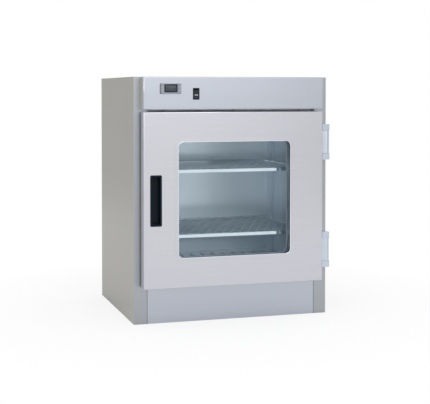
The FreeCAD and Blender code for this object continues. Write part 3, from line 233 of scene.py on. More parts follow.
def moulded(name, colour, roughness, texture=0.15, size=1500.0, vary=0.12, specular=0.5):
    """Moulded plastic or rubber with a fine spark texture."""
    nodes = new_material(name)
    speck = nodes.noise((size,) * 3, detail=2.0)
    patch = nodes.noise((40.0,) * 3, detail=3.0)
    tone = nodes.blend(nodes.span(patch, 0.0, 1.0), scaled(colour, 1 - vary), colour)
    sheen = nodes.span(speck, roughness - 0.06, roughness + 0.08)
    return nodes.finish(nodes.surface(tone, sheen, speck, texture, 0.0002,
                                      **{"Specular IOR Level": specular}))


def pane_glass(name, tint, sheen):
    """Thin coated glass: it lets light straight through and mirrors the room, a little blue."""
    nodes = new_material(name)
    clear = nodes.add("ShaderNodeBsdfTransparent")
    smear = nodes.noise((9.0, 9.0, 5.0), detail=4.0)
    nodes.link(nodes.blend(nodes.span(smear, 0.0, 1.0), scaled(tint, 0.985), tint), clear.inputs["Color"])
    mirror = nodes.add("ShaderNodeBsdfGlossy", Color=(*sheen, 1.0), Roughness=0.02)
    edge = nodes.add("ShaderNodeFresnel", IOR=1.32)
    return nodes.finish(nodes.mix_shaders(edge.outputs["Fac"], clear, mirror))


def mineral_wool(name, dark, light):
    """Matted fibres, coarse and rough."""
    nodes = new_material(name)
    fibre = nodes.noise((220.0, 60.0, 220.0), detail=6.0, roughness=0.7)
    tone = nodes.blend(nodes.span(fibre, 0.0, 1.0), dark, light)
    return nodes.finish(nodes.surface(tone, 0.95, fibre, 0.7, 0.002))


MATERIALS = {
    "casing_steel": brushed_steel("casing_steel", (0.525, 0.555, 0.615), 0.34),
    # A darker copy of the casing steel: painted shade on the front stiles beside the door and on the control
    # panel's top fold.
    "shade_painted_steel": brushed_steel("shade_painted_steel", (0.43, 0.445, 0.47), 0.34),
    # A lighter, warmer copy of the steel: painted light on the control panel's end faces.
    "light_painted_end_faces": brushed_steel("light_painted_end_faces", (0.64, 0.63, 0.62), 0.38),
    # The side panels' steel: a warmer tone of its own, darker than the casing steel as painted shade on the
    # sides turned from the light.
    "warm_side_shaded_steel": brushed_steel("warm_side_shaded_steel", (0.46, 0.455, 0.435), 0.38),
    "top_steel": brushed_steel("top_steel", (0.56, 0.57, 0.60), 0.34, flow="top"),
    "door_steel": brushed_steel("door_steel", (0.635, 0.635, 0.685), 0.32),
    "chamber_steel": brushed_steel("chamber_steel", (0.91, 0.96, 0.99), 0.25, flow="upright", grain=0.2,
                                   bump=0.0015, anisotropic=1.0, metallic=0.8),
    "side_wall_steel": brushed_steel("side_wall_steel", (0.60, 0.65, 0.70), 0.34, flow="upright",
                                     grain=0.35, bump=0.004, anisotropic=0.7),
    "grille_steel": brushed_steel("grille_steel", (0.42, 0.47, 0.53), 0.34, flow="top", grain=0.4),
    "door_liner_steel": brushed_steel("door_liner_steel", (0.80, 0.83, 0.86), 0.45),
    "shelf_steel": plain_metal("shelf_steel", (0.86, 0.89, 0.91), 0.10, mottle=0.01),
    "mesh_steel": plain_metal("mesh_steel", (0.90, 0.96, 1.0), 0.45, mottle=0.05, metallic=0.3),
    "zinc_sheet": galvanised("zinc_sheet", (0.50, 0.52, 0.54), 0.40),
    "hinge_metal": plain_metal("hinge_metal", (0.60, 0.66, 0.75), 0.30, mottle=0.05),
    "fastener_steel": plain_metal("fastener_steel", (0.58, 0.59, 0.60), 0.30),
    "spring_steel": plain_metal("spring_steel", (0.55, 0.56, 0.58), 0.22),
    "bush_bronze": plain_metal("bush_bronze", (0.56, 0.36, 0.16), 0.35),
    "motor_shell": plain_metal("motor_shell", (0.46, 0.47, 0.49), 0.48, mottle=0.15),
    "element_sheath": plain_metal("element_sheath", (0.14, 0.12, 0.11), 0.45, mottle=0.3),
    "bezel_silver": moulded("bezel_silver", (0.29, 0.31, 0.36), 0.34, texture=0.05, vary=0.05),
    "display_dark": moulded("display_dark", (0.022, 0.030, 0.042), 0.12, texture=0.0, vary=0.05,
                            specular=0.12),
    "readout": moulded("readout", (0.060, 0.068, 0.088), 0.14, texture=0.0, vary=0.04, specular=0.12),
    "key_grey": moulded("key_grey", (0.33, 0.355, 0.41), 0.40),
    "black_plastic": moulded("black_plastic", (0.001, 0.008, 0.014), 0.42, specular=0.14),
    "rocker_black": moulded("rocker_black", (0.004, 0.006, 0.012), 0.24, texture=0.05, specular=0.55),
    # White of the rocker's dashes: an on-mark, and a painted highlight on the rocker's ridge.
    "mark_and_glint_white": moulded("mark_and_glint_white", (0.75, 0.77, 0.80), 0.45),
    "gasket_rubber": moulded("gasket_rubber", (0.020, 0.022, 0.026), 0.60),
    # Near-black for the beads: their own rubber, and painted shade of the seams beside the stiles and round
    # the bezel.
    "joint_bead": moulded("joint_bead", (0.012, 0.012, 0.016), 0.55, specular=0.25),
    # Pale grey for the strip above the door: its tone paints the shade of the gap it stands in.
    "gap_shade_grey": moulded("gap_shade_grey", (0.82, 0.84, 0.90), 0.60, specular=0.3),
    "door_seal": moulded("door_seal", (0.16, 0.165, 0.175), 0.60),
    "pane_glass": pane_glass("pane_glass", (0.982, 0.994, 1.0), (0.55, 0.80, 1.0)),
    "mineral_wool": mineral_wool("mineral_wool", (0.42, 0.34, 0.16), (0.66, 0.58, 0.36)),
}

# CAD nodes whose finish isn't the plain one of their slot.
NODE_FINISH = {
    "top_panel": "top_steel",
    "chamber_side_walls": "side_wall_steel",
    "shelf_pilasters": "side_wall_steel",
    "air_grille": "grille_steel",
    "door_inner_skin": "door_liner_steel",
    "throat_frame": "door_liner_steel",
}
slot_of = {part["node"]: part["material_slot"] for part in frame["record"]["subparts"]}


def dress_nodes():
    """Give every CAD node the procedural material of its slot."""
    for name, thing in frame["nodes"].items():
        finish = MATERIALS[NODE_FINISH.get(name, slot_of[name])]
        if not thing.material_slots:
            thing.data.materials.append(finish)
        for slot in thing.material_slots:
            slot.material = finish
    for pane in ("outer_glass", "inner_glass"):
        frame["nodes"][pane].visible_shadow = False   # the studio's light reaches into the chamber


# Mesh helpers ------------------------------------------------------------------------------------

def islands_of(shape):
    """The connected sets of faces in a bmesh."""
    left, found = set(shape.faces), []
    while left:
        reached = {left.pop()}
        waiting = list(reached)
        while waiting:
            for edge in waiting.pop().edges:
                for face in edge.link_faces:
                    if face not in reached:
                        reached.add(face)
                        waiting.append(face)
        left -= reached
        found.append(sorted(reached, key=lambda face: face.index))
    return found


def face_outwards(shape):
    """Turn every closed island's faces outwards."""
    shape.faces.index_update()
    bmesh.ops.recalc_face_normals(shape, faces=shape.faces)
    for island in islands_of(shape):
        start = island[0].verts[0].co
        volume = 0.0
        for face in island:
            corners = [vert.co - start for vert in face.verts]
            for second, third in zip(corners[1:], corners[2:]):
                volume += corners[0].dot(second.cross(third))
        if volume < 0:
            bmesh.ops.reverse_faces(shape, faces=island)


def make_piece(name, shape, body, slot, stands_for=(), finish=None, crease=35.0):
    """Turn a bmesh into a dressed piece that rides on a body."""
    mesh = bpy.data.meshes.new(name)
    face_outwards(shape)
    shape.to_mesh(mesh)
    shape.free()
    mesh.shade_smooth()
    mesh.set_sharp_from_angle(angle=math.radians(crease))
    piece = bpy.data.objects.new(name, mesh)
    bpy.context.collection.objects.link(piece)
    mesh.materials.append(MATERIALS[finish or slot])
    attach(piece, body)
    if stands_for:
        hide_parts(*stands_for)
    return piece


def loft(shape, loops, close_ends=True):
    """Bridge loops of equal length with quads, and cap the first and the last."""
    rings = [[shape.verts.new(point) for point in loop] for loop in loops]
    for low, high in zip(rings, rings[1:]):
        for index in range(len(low)):
            after = (index + 1) % len(low)
            shape.faces.new((low[index], low[after], high[after], high[index]))
    if close_ends:
        shape.faces.new(rings[0])
        shape.faces.new(rings[-1][::-1])
    return rings


def close_ring(shape, rings):
    """Join the last loop of an open-ended loft back to its first."""
    count = len(rings[0])
    for index in range(count):
        after = (index + 1) % count
        shape.faces.new((rings[-1][index], rings[-1][after], rings[0][after], rings[0][index]))


def rounded_loop(half_wide, half_high, radius, steps=5):
    """Corner-rounded rectangle as (across, up) pairs."""
    points = []
    for quarter, (side, rise) in enumerate(((1, 1), (-1, 1), (-1, -1), (1, -1))):
        for step in range(steps + 1):
            angle = math.pi / 2 * (quarter + step / steps)
            points.append((side * (half_wide - radius) + radius * math.cos(angle),
                           rise * (half_high - radius) + radius * math.sin(angle)))
    return points


def node_shape(node):
    """A CAD node's mesh as a bmesh, with its flat faces joined up."""
    shape = bmesh.new()
    shape.from_mesh(frame["nodes"][node].data)
    bmesh.ops.remove_doubles(shape, verts=shape.verts, dist=1e-6)
    bmesh.ops.dissolve_limit(shape, angle_limit=math.radians(0.5), verts=shape.verts, edges=shape.edges)
    return shape


def middle_of(node):
    """The middle of a CAD node's box, and half its size."""
    low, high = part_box(node)
    return [(a + b) / 2 for a, b in zip(low, high)], [(b - a) / 2 for a, b in zip(low, high)]


def sharp_edges(shape, least_angle=40.0):
    return [edge for edge in shape.edges
            if len(edge.link_faces) == 2 and edge.calc_face_angle() > math.radians(least_angle)]


def round_over(shape, edges, width, segments=3):
    bmesh.ops.bevel(shape, geom=edges, offset=width, offset_type="OFFSET", segments=segments,
                    profile=0.5, affect="EDGES", clamp_overlap=True)


def folded_edges(shape, thick=0.0035):
    """Outer edges where two wide faces of a folded sheet meet."""
    found = []
    for edge in sharp_edges(shape, 60.0):
        if not edge.is_convex:
            continue
        if all(min(face_extent(face)) > thick for face in edge.link_faces):
            found.append(edge)
    return found


def face_extent(face):
    """The two larger sides of a face's box."""
    spans = []
    for axis in range(3):
        values = [vert.co[axis] for vert in face.verts]
        spans.append(max(values) - min(values))
    return sorted(spans)[1:]


def soften(node, fold=0.0, edge=0.0, finish=None, reshape=None):
    """A copy of a CAD node with rounded folds and eased edges, which stands for it."""
    shape = node_shape(node)
    if reshape:
        reshape(shape)
    folds = shape.edges.layers.int.new("fold")
    if fold:
        for line in folded_edges(shape):
            line[folds] = 1
    bmesh.ops.triangulate(shape, faces=[face for face in shape.faces if len(face.verts) > 4])
    if fold:
        round_over(shape, [line for line in shape.edges if line[folds]], fold, segments=4)
    if edge:
        round_over(shape, sharp_edges(shape), edge, segments=2)
    body = frame["nodes"][node]["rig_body"]
    piece = make_piece(f"{node}_formed", shape, body, slot_of[node], (node,), finish)
    normals = piece.modifiers.new("flat_faces", "WEIGHTED_NORMAL")
    normals.keep_sharp = True
    normals.weight = 100
    return piece


def tint_faces(piece, finish, wanted):
    """Give the faces whose direction is wanted a finish of their own: a lighter copy as painted light, a
    darker one as painted shade, picked by the way the faces point.
    """
    piece.data.materials.append(MATERIALS[finish])
    for face in piece.data.polygons:
        if wanted(face.normal):
            face.material_index = len(piece.data.materials) - 1


def slice_across(shape, axis, places):
    """Cut a bmesh by planes, so that it can be bent smoothly."""
    for place in places:
        point = [0.0, 0.0, 0.0]
        normal = [0.0, 0.0, 0.0]
        point[axis] = place
        normal[axis] = 1.0
        everything = list(shape.verts) + list(shape.edges) + list(shape.faces)
        bmesh.ops.bisect_plane(shape, geom=everything, dist=1e-7, plane_co=point, plane_no=normal)


# Controls ----------------------------------------------------------------------------------------

BOW, BOW_SLICES = 0.0011, 14          # how far the controller's long sides bow out at their middle
WINDOW_RISE = 0.0015                  # how far the scene lifts the display and its window
WINDOW_MARGIN_WIDE, WINDOW_MARGIN_HIGH = 0.0015, 0.0007
LENS_CORNER, SEAL_CORNER = 0.0016, 0.0035
LENS_PROFILE = ((0.0, 0.0038), (0.0, 0.0012), (-0.0006, 0.0007), (-0.0022, 0.0004), (-0.0036, 0.0002),
                (-0.0038, 0.0004), (-0.0041, 0.0002))
SEAL_PROFILE = ((-0.001, 0.0), (0.0012, 0.0), (0.0012, -0.0007), (0.0009, -0.0010), (-0.001, -0.0010))


def bowed_loops(middle, half, radius, front, reach, profile):
    """Rounded outlines in the XZ plane that bow up and down; profile gives (growth, depth) pairs."""
    loops = []
    for grow, depth in profile:
        loop = []
        for across, up in rounded_loop(half[0] + grow, half[2] + grow, radius, 6):
            rise = BOW * (1 - (across / reach) ** 2) * (up / half[2])
            loop.append((middle[0] + across, front + depth, middle[2] + up + rise))
        loops.append(loop)
    return loops


def make_controller():
    """The bezel's long sides and the lens bow outwards round the display."""
    centre, half = middle_of("controller_bezel")
    lens_centre, lens_half = middle_of("controller_display")
    shape = node_shape("controller_bezel")
    slice_across(shape, 0, [centre[0] + half[0] * (2 * step / BOW_SLICES - 1)
                            for step in range(1, BOW_SLICES)])
    for vert in shape.verts:
        across = (vert.co.x - centre[0]) / half[0]
        up = (vert.co.z - centre[2]) / half[2]
        at_window = (abs(vert.co.x - lens_centre[0]) < lens_half[0] + WINDOW_MARGIN_WIDE
                     and abs(vert.co.z - lens_centre[2]) < lens_half[2] + WINDOW_MARGIN_HIGH)
        if abs(up) > 0.5:
            vert.co.z += math.copysign(BOW * (1 - across * across), up)
        if at_window:
            vert.co.z += WINDOW_RISE
    make_piece("controller_bezel_bowed", shape, "cabinet", "bezel_silver", ("controller_bezel",))

    lens_centre[2] += WINDOW_RISE
    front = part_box("controller_bezel")[0][1]
    shape = bmesh.new()
    loft(shape, bowed_loops(lens_centre, lens_half, LENS_CORNER, front, half[0], LENS_PROFILE))
    lens = make_piece("controller_lens", shape, "cabinet", "display_dark", ("controller_display",))
    # The lens's last face is its flat front, where the readout shows.
    lens.data.materials.append(MATERIALS["readout"])
    lens.data.polygons[len(lens.data.polygons) - 1].material_index = 1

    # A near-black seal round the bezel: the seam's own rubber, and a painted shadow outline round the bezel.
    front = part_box("control_panel")[0][1]
    shape = bmesh.new()
    close_ring(shape, loft(shape, bowed_loops(centre, half, SEAL_CORNER, front, half[0], SEAL_PROFILE),
                           close_ends=False))
    make_piece("controller_seal", shape, "cabinet", "gasket_rubber", finish="joint_bead")


MARK_WIDE, MARK_TALL, MARK_GAP = 0.0056, 0.0024, 0.0013
MARK_DROP = 0.0042                    # below the middle of the switch's housing
MARK_PROFILE = ((0.0008, 0.0), (-0.0001, 0.0), (-0.00025, 0.0003))


def make_switch_marks():
    """Two short white dashes moulded on the rocker, just below its middle: an on-mark, and a painted
    highlight along the rocker's ridge.
    """
    middle = middle_of("power_rocker")[0][0]
    level = middle_of("switch_housing")[0][2] - MARK_DROP
    front = front_at(frame["nodes"]["power_rocker"], middle, level)
    near, far, tall = MARK_GAP / 2, MARK_GAP / 2 + MARK_WIDE, MARK_TALL / 2
    shape = bmesh.new()
    for side in (-1, 1):
        loops = []
        for depth, inset in MARK_PROFILE:
            corners = ((near + inset, -tall + inset), (far - inset, -tall + inset),
                       (far - inset, tall - inset), (near + inset, tall - inset))
            loops.append([(middle + side * across, front + depth, level + up) for across, up in corners])
        loft(shape, loops)
    make_piece("power_rocker_marks", shape, "power_rocker", "black_plastic", finish="mark_and_glint_white")


def front_at(thing, x, z):
    """How far forward a CAD node reaches at a place on the front."""
    hit, place, _, _ = thing.ray_cast(Vector((x, -1.0, z)), Vector((0, 1, 0)))
    if not hit:
        raise RuntimeError(f"nothing of {thing.name} at {x}, {z}")
    return place.y


# Shelves -----------------------------------------------------------------------------------------

MESH_LONG, MESH_SHORT = 0.076, 0.034  # one diamond, from front to back and across
STRAND_WIDE, STRAND_TALL, BOND_HALF = 0.0038, 0.0014, 0.006
STRAND_LIFT, STRAND_TILT = 0.0005, 0.0004
STRAND_SHIFT = STRAND_WIDE * 0.25     # how far a bond stands off its grid line
MESH_INSET = 0.008
RIM_WALL, RIM_LIP = 0.0012, 0.0150
# The rim's fold as pairs: how far inwards, and how far below the top.
RIM_FOLD = ((0.0, 0.0026), (0.0, 0.0018), (0.0003, 0.0009), (0.0009, 0.0003), (0.0018, 0.0),
            (RIM_LIP, 0.0), (RIM_LIP, RIM_WALL), (0.0024, RIM_WALL), (0.0014, 0.0020), (RIM_WALL, 0.0030))


def rect_loop(low, high, inset, level):
    return [(low[0] + inset, low[1] + inset, level), (high[0] - inset, low[1] + inset, level),
            (high[0] - inset, high[1] - inset, level), (low[0] + inset, high[1] - inset, level)]


def make_shelf(body):
    """A bright folded tray rim with raised expanded metal inside it."""
    low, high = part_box(body)
    top, bottom = high[2], low[2]
    rim = bmesh.new()
    profile = [(0.0, bottom), *((inset, top - drop) for inset, drop in RIM_FOLD), (RIM_WALL, bottom),
               (0.0, bottom)]
    loft(rim, [rect_loop(low, high, inset, level) for inset, level in profile], close_ends=False)
    bmesh.ops.remove_doubles(rim, verts=rim.verts, dist=1e-6)
    make_piece(f"{body}_rim", rim, body, "shelf_steel", (body,), crease=50.0)

    metal = bmesh.new()
    level = top - RIM_WALL - STRAND_TALL - STRAND_LIFT - STRAND_TILT
    left, right = low[0] + MESH_INSET, high[0] - MESH_INSET
    front, back = low[1] + MESH_INSET, high[1] - MESH_INSET
    strands = round((right - left) / (MESH_SHORT / 2))
    bonds = round((back - front) / (MESH_LONG / 2))
    step_x, step_y = (right - left) / strands, (back - front) / bonds
    for strand in range(strands):
        path = []
        for bond in range(bonds + 1):
            over = (bond + strand) % 2
            path.append((left + (strand + over) * step_x, front + bond * step_y, over))
        add_strand(metal, path, level)
    make_piece(f"{body}_mesh", metal, body, "shelf_steel", (body,), finish="mesh_steel", crease=30.0)


def add_strand(shape, path, level):
    """One zigzag strand from front to back, tilted a little, with flat bonds at its corners."""
    rings = []
    for x, y, over in path:
        shift = -STRAND_SHIFT if over else STRAND_SHIFT
        middle = level + (STRAND_LIFT if over else -STRAND_LIFT)
        left, right = x + shift - STRAND_WIDE / 2, x + shift + STRAND_WIDE / 2
        low_edge, high_edge = middle - STRAND_TILT, middle + STRAND_TILT
        for at in (y - BOND_HALF, y + BOND_HALF):
            rings.append([(left, at, low_edge), (right, at, high_edge),
                          (right, at, high_edge + STRAND_TALL), (left, at, low_edge + STRAND_TALL)])
    loft(shape, rings[1:-1])


# Fasteners, louvres and the gland ----------------------------------------------------------------

# The turns from +Z to the way that a screw's head faces.
TURN_TO = {"x": Matrix.Rotation(math.pi / 2, 3, "Y"), "-y": Matrix.Rotation(math.pi / 2, 3, "X"),
           "y": Matrix.Rotation(-math.pi / 2, 3, "X"), "-z": Matrix.Rotation(math.pi, 3, "X")}


def islands(node):
    """The boxes of a node's separate solids, as (lowest, highest) corners."""
    shape = bmesh.new()
    shape.from_mesh(frame["nodes"][node].data)
    bmesh.ops.remove_doubles(shape, verts=shape.verts, dist=1e-6)
    shape.faces.index_update()
    found = []
    for island in islands_of(shape):
        places = [vert.co for face in island for vert in face.verts]
        found.append(([min(place[axis] for place in places) for axis in range(3)],
                      [max(place[axis] for place in places) for axis in range(3)]))
    shape.free()
    return sorted(found)


RIB_DEPTH = 0.028                     # as a share of the ring's radius


def ring_of(radius, rise, corners=0, ribs=0, steps=24):
    """A ring in the XY plane at a height: a circle, a polygon with corners or a ring with ribs."""
    points = []
    for step in range(steps):
        angle = 2 * math.pi * step / steps
        reach = radius
        if corners:
            half = math.pi / corners
            reach = radius * math.cos(half) / math.cos((angle % (2 * half)) - half)
        elif ribs:
            reach = radius * (1 + RIB_DEPTH * math.cos(ribs * angle))
        points.append(Vector((reach * math.cos(angle), reach * math.sin(angle), rise)))
    return points


SHANK_RADIUS, SHANK_TAPER = 0.002, 0.6
HEAD_HEIGHT = 0.0025
SOCKET_SHARE = 0.42                   # the socket's radius as a share of the head's
# Pairs of radius and rise: shares of the head's own, and then of the socket's radius and the head's rise.
HEAD_PROFILE = ((0.97, 0.0), (1.0, 0.12), (1.0, 0.45), (0.93, 0.74), (0.78, 0.93), (0.62, 1.0))
SOCKET_PROFILE = ((1.12, 1.0), (1.0, 0.92), (1.0, 0.35))


def screw_loops(head_radius, head_height, shank_length):
    """A pan head with a hexagon socket, seated at the origin and facing +Z."""
    tip_radius = SHANK_RADIUS * SHANK_TAPER
    loops = [ring_of(tip_radius, -shank_length), ring_of(SHANK_RADIUS, tip_radius - shank_length),
             ring_of(SHANK_RADIUS, 0.0)]
    loops += [ring_of(head_radius * share, head_height * rise) for share, rise in HEAD_PROFILE]
    socket = head_radius * SOCKET_SHARE
    return loops + [ring_of(socket * share, head_height * rise, 6) for share, rise in SOCKET_PROFILE]


def add_turned(shape, loops, seat, facing):
    turn = TURN_TO[facing]
    loft(shape, [[turn @ point + Vector(seat) for point in loop] for loop in loops])


def make_screws():
    """Screws with sockets, over the plain CAD ones."""
    for node, axis, facing in (("control_panel_screws", 2, "-z"), ("hinge_frame_screws", 1, "-y"),
                               ("hinge_door_screws", 0, "x")):
        shape = bmesh.new()
        for low, high in islands(node):
            middle = [(a + b) / 2 for a, b in zip(low, high)]
            head_radius = max((high[side] - low[side]) / 2 for side in range(3) if side != axis)
            seat = list(middle)
            seat[axis] = high[axis] - HEAD_HEIGHT if facing == "x" else low[axis] + HEAD_HEIGHT
            length = high[axis] - low[axis] - HEAD_HEIGHT
            add_turned(shape, screw_loops(head_radius, HEAD_HEIGHT, length), seat, facing)
        make_piece(f"{node}_socketed", shape, frame["nodes"][node]["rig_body"], slot_of[node], (node,))


LOUVRES_ACROSS, LOUVRE_SPREAD = 8, 0.6            # the spread is a share of the casing's width
LOUVRE_ABOVE_FLOOR, LOUVRE_BELOW_TOP = 0.0495, 0.0605
HOOD_HALF_WIDE, HOOD_TALL, HOOD_PROUD, HOOD_THICK = 0.0245, 0.0125, 0.0052, 0.00081
HOOD_COLUMNS, HOOD_ROWS = 14, 6
BACK_SCREW_HEAD, BACK_SCREW_RISE, BACK_SCREW_SHANK = 0.0042, 0.0022, 0.004
BACK_SCREW_INSET = 0.0095
BACK_SCREW_PITCH_ACROSS, BACK_SCREW_PITCH_UP = 0.18, 0.217
BACK_SCREW_MIDDLE = 0.457             # how high the middle screw of each side stands


def make_back():
    """Pressed hoods over the back panel's slots, and the screws that hold the panel."""
    low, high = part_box("back_panel")
    _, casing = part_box("right_side_panel")
    shape = bmesh.new()
    for column in range(LOUVRES_ACROSS):
        share = (column + 0.5) / LOUVRES_ACROSS - 0.5
        for level in (LOUVRE_ABOVE_FLOOR, high[2] - LOUVRE_BELOW_TOP):
            add_hood(shape, 2 * casing[0] * LOUVRE_SPREAD * share, high[1], level)
    make_piece("back_louvre_hoods", shape, "cabinet", "zinc_sheet", crease=50.0)

    side = high[0] - BACK_SCREW_INSET
    ends = (low[2] + BACK_SCREW_INSET, high[2] - BACK_SCREW_INSET)
    middles = [BACK_SCREW_MIDDLE + step * BACK_SCREW_PITCH_UP for step in (-1, 0, 1)]
    places = [(step * BACK_SCREW_PITCH_ACROSS, high[1], z) for step in (-1, 0, 1) for z in ends]
    places += [(x, casing[1], z) for x in (-side, side) for z in (ends[0], *middles, ends[1])]
    shape = bmesh.new()
    for place in places:
        add_turned(shape, screw_loops(BACK_SCREW_HEAD, BACK_SCREW_RISE, BACK_SCREW_SHANK), place, "y")
    make_piece("back_panel_screws", shape, "cabinet", "fastener_steel")


def add_hood(shape, x, face, level):
    """A pressed louvre hood: closed above and at its ends, and open below."""
    skins = []
    for depth in (0.0, HOOD_THICK):
        rows = []
        for step in range(HOOD_ROWS + 1):
            up = step / HOOD_ROWS
            row = []
            for place in range(HOOD_COLUMNS + 1):
                across = 2 * place / HOOD_COLUMNS - 1
                bulge = HOOD_PROUD * (1 - across ** 4) * math.sqrt(1 - up * up)
                row.append(shape.verts.new((x + HOOD_HALF_WIDE * across, face - depth + bulge,
                                            level + HOOD_TALL * up)))
            rows.append(row)
        skins.append(rows)
        for low_row, high_row in zip(rows, rows[1:]):
            add_strip(shape, low_row, high_row)
    for edge, under in zip(*map(grid_edges, skins)):
        add_strip(shape, edge, under)


def add_strip(shape, first, second):
    """Quads between two rows of vertices."""
    for place in range(len(first) - 1):
        shape.faces.new((first[place], first[place + 1], second[place + 1], second[place]))


def grid_edges(rows):
    """The four edges of a grid of vertices, in order round it."""
    return [rows[0], [row[-1] for row in rows], rows[-1][::-1], [row[0] for row in rows][::-1]]


ROUND, HEXAGON, RIBBED = {}, {"corners": 6}, {"ribs": 24}
GLAND_BORE, GLAND_TUBE = 0.0046, 0.0098
GLAND_STEPS = 72


def make_gland():
    """A ribbed dome nut outside the back panel and a hexagon locknut inside it."""
    low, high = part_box("cord_gland")
    (x, _, z), (nut, _, _) = middle_of("cord_gland")
    panel_low, panel_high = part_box("back_panel")
    inside, outside = panel_low[1], panel_high[1]
    bore, tube = GLAND_BORE, GLAND_TUBE
    profile = [
        (bore, low[1], ROUND), (bore, high[1], ROUND), (bore + 0.0016, high[1], ROUND),
        (0.0083, high[1] - 0.0007, ROUND), (0.0106, high[1] - 0.0026, RIBBED),
        (0.0116, high[1] - 0.0045, RIBBED), (0.0118, outside + 0.0032, RIBBED),
        (0.0113, outside + 0.0030, ROUND), (nut, outside + 0.0028, HEXAGON), (nut, outside, HEXAGON),
        (tube, outside, ROUND), (tube, inside, ROUND), (nut, inside, HEXAGON),
        (nut, inside - 0.005, HEXAGON), (tube, inside - 0.005, ROUND), (tube, low[1] + 0.0006, ROUND),
        (tube - 0.0006, low[1], ROUND),
    ]
    shape = bmesh.new()
    loops = []
    for radius, y, form in profile:
        ring = ring_of(radius, y, steps=GLAND_STEPS, **form)
        loops.append([(x + point.x, y, z + point.y) for point in ring])
    close_ring(shape, loft(shape, loops, close_ends=False))
    make_piece("cord_gland_ribbed", shape, "cabinet", slot_of["cord_gland"], ("cord_gland",), crease=28.0)


# Door seal ---------------------------------------------------------------------------------------

# The seal's outline as pairs: how far inwards, and which share of the depth behind its front.
DOOR_SEAL_PROFILE = (
    (0.0010, 0.0), (0.0002, 0.06), (0.0, 0.16), (0.0014, 0.24), (0.0027, 0.34), (0.0016, 0.44),
    (0.0002, 0.54), (0.0, 0.84), (0.0009, 0.96), (0.0022, 1.0), (0.0103, 1.0), (0.0116, 0.96),
    (0.0125, 0.84), (0.0123, 0.54), (0.0109, 0.44), (0.0098, 0.34), (0.0111, 0.24), (0.0125, 0.16),
    (0.0123, 0.06), (0.0115, 0.0),
)
DOOR_SEAL_CORNER, DOOR_SEAL_LEAST_CORNER = 0.010, 0.0035


def framed_loop(middle, half, grow, radius, y, steps):
    """A rounded outline in the XZ plane at a depth, larger than half a size on each side by grow."""
    return [(middle[0] + across, y, middle[2] + up)
            for across, up in rounded_loop(half[0] + grow, half[2] + grow, radius, steps)]


def make_door_seal():
    """A moulded seal with a base, a bellows neck and a rounded magnetic head."""
    middle, half = middle_of("door_gasket")
    shape = bmesh.new()
    loops = []
    for inset, share in DOOR_SEAL_PROFILE:
        radius = max(DOOR_SEAL_LEAST_CORNER, DOOR_SEAL_CORNER - inset / 2)
        y = middle[1] + half[1] * (2 * share - 1)
        loops.append(framed_loop(middle, half, -inset, radius, y, 8))
    close_ring(shape, loft(shape, loops, close_ends=False))
    make_piece("door_seal_moulded", shape, "door", slot_of["door_gasket"], ("door_gasket",), crease=50.0)


# Joints between panels, glazing bead and hinge plates ---------------------------------------------

def add_bar(shape, outline, axis, start, end):
    """A straight bar of one outline; the outline gives the two other axes in order."""
    loops = []
    for place in (start, end):
        loop = []
        for first, second in outline:
            point = [first, second]
            point.insert(axis, place)
            loop.append(point)
        loops.append(loop)
    loft(shape, loops)


def half_round(low, high, base, reach, steps=10):
    """A flat-backed half-round outline between low and high, rising from base to reach."""
    points = [(low, base)]
    for step in range(steps + 1):
        angle = math.pi * step / steps
        points.append(((low + high) / 2 - (high - low) / 2 * math.cos(angle),
                       base + (reach - base) * (0.35 + 0.65 * math.sin(angle))))
    return points + [(high, base)]


BEAD_CLEARANCE, BEAD_FOOT = 0.0001, 0.0005
BEAD_BACK, BEAD_FRONT = 0.0014, 0.0002            # both behind the casing's face
STRIP_FRONT, STRIP_BACK, STRIP_RISE = 0.0020, 0.0155, 0.0105
STRIP_SINK = 0.0047                   # the strip's underside is this far below the door's top
STRIP_END_GAP = 0.0015


def make_joints():
    """Near-black sealant beads in the seams beside the front stiles, which also paint the seams' shade as
    dark lines, and a pale grey strip in the gap above the door, whose grey is set to give that shaded gap's
    tone.
    """
    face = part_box("left_side_panel")[0][1]
    stile = abs(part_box("left_side_panel")[1][0])
    panel_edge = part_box("kick_panel")[1][0]
    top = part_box("control_panel")[0][2]
    shape = bmesh.new()
    for side in (-1, 1):
        across = sorted((side * (panel_edge + BEAD_CLEARANCE), side * (stile - BEAD_CLEARANCE)))
        outline = half_round(*across, face + BEAD_BACK, face + BEAD_FRONT, 6)
        add_bar(shape, outline, 2, BEAD_FOOT, top)
    make_piece("stile_joint_beads", shape, "cabinet", "gasket_rubber", finish="joint_bead", crease=60.0)

    # The strip stands in the shaded gap above the door; its pale grey paints that gap's tone.
    shape = bmesh.new()
    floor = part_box("door_outer_skin")[1][2] - STRIP_SINK
    end = panel_edge - STRIP_END_GAP
    outline = half_round(face + STRIP_FRONT, face + STRIP_BACK, floor, floor + STRIP_RISE, 12)
    add_bar(shape, outline, 0, -end, end)
    make_piece("header_seal", shape, "cabinet", "gasket_rubber", finish="gap_shade_grey", crease=60.0)


GLAZING_INSET, GLAZING_CORNER = 0.011, 0.018
GLAZING_BEAD, GLAZING_SINK, GLAZING_STEPS = 0.0013, 0.0009, 10


def make_glazing_bead():
    """A thin polished bead round the inner edge of the window trim."""
    middle, half = middle_of("window_trim")
    front = middle[1] - half[1] + GLAZING_SINK
    shape = bmesh.new()
    loops = []
    for step in range(GLAZING_STEPS):
        angle = 2 * math.pi * step / GLAZING_STEPS
        grow = GLAZING_BEAD * math.cos(angle)
        loops.append(framed_loop(middle, half, grow - GLAZING_INSET, GLAZING_CORNER + grow,
                                 front - GLAZING_BEAD * math.sin(angle), 10))
    close_ring(shape, loft(shape, loops, close_ends=False))
    make_piece("window_bead", shape, "door", "door_steel", finish="shelf_steel", crease=80.0)


HINGE_X, HINGE_Y = next(joint["pos_m"][:2] for joint in frame["joints"] if joint["name"] == "door_hinge")
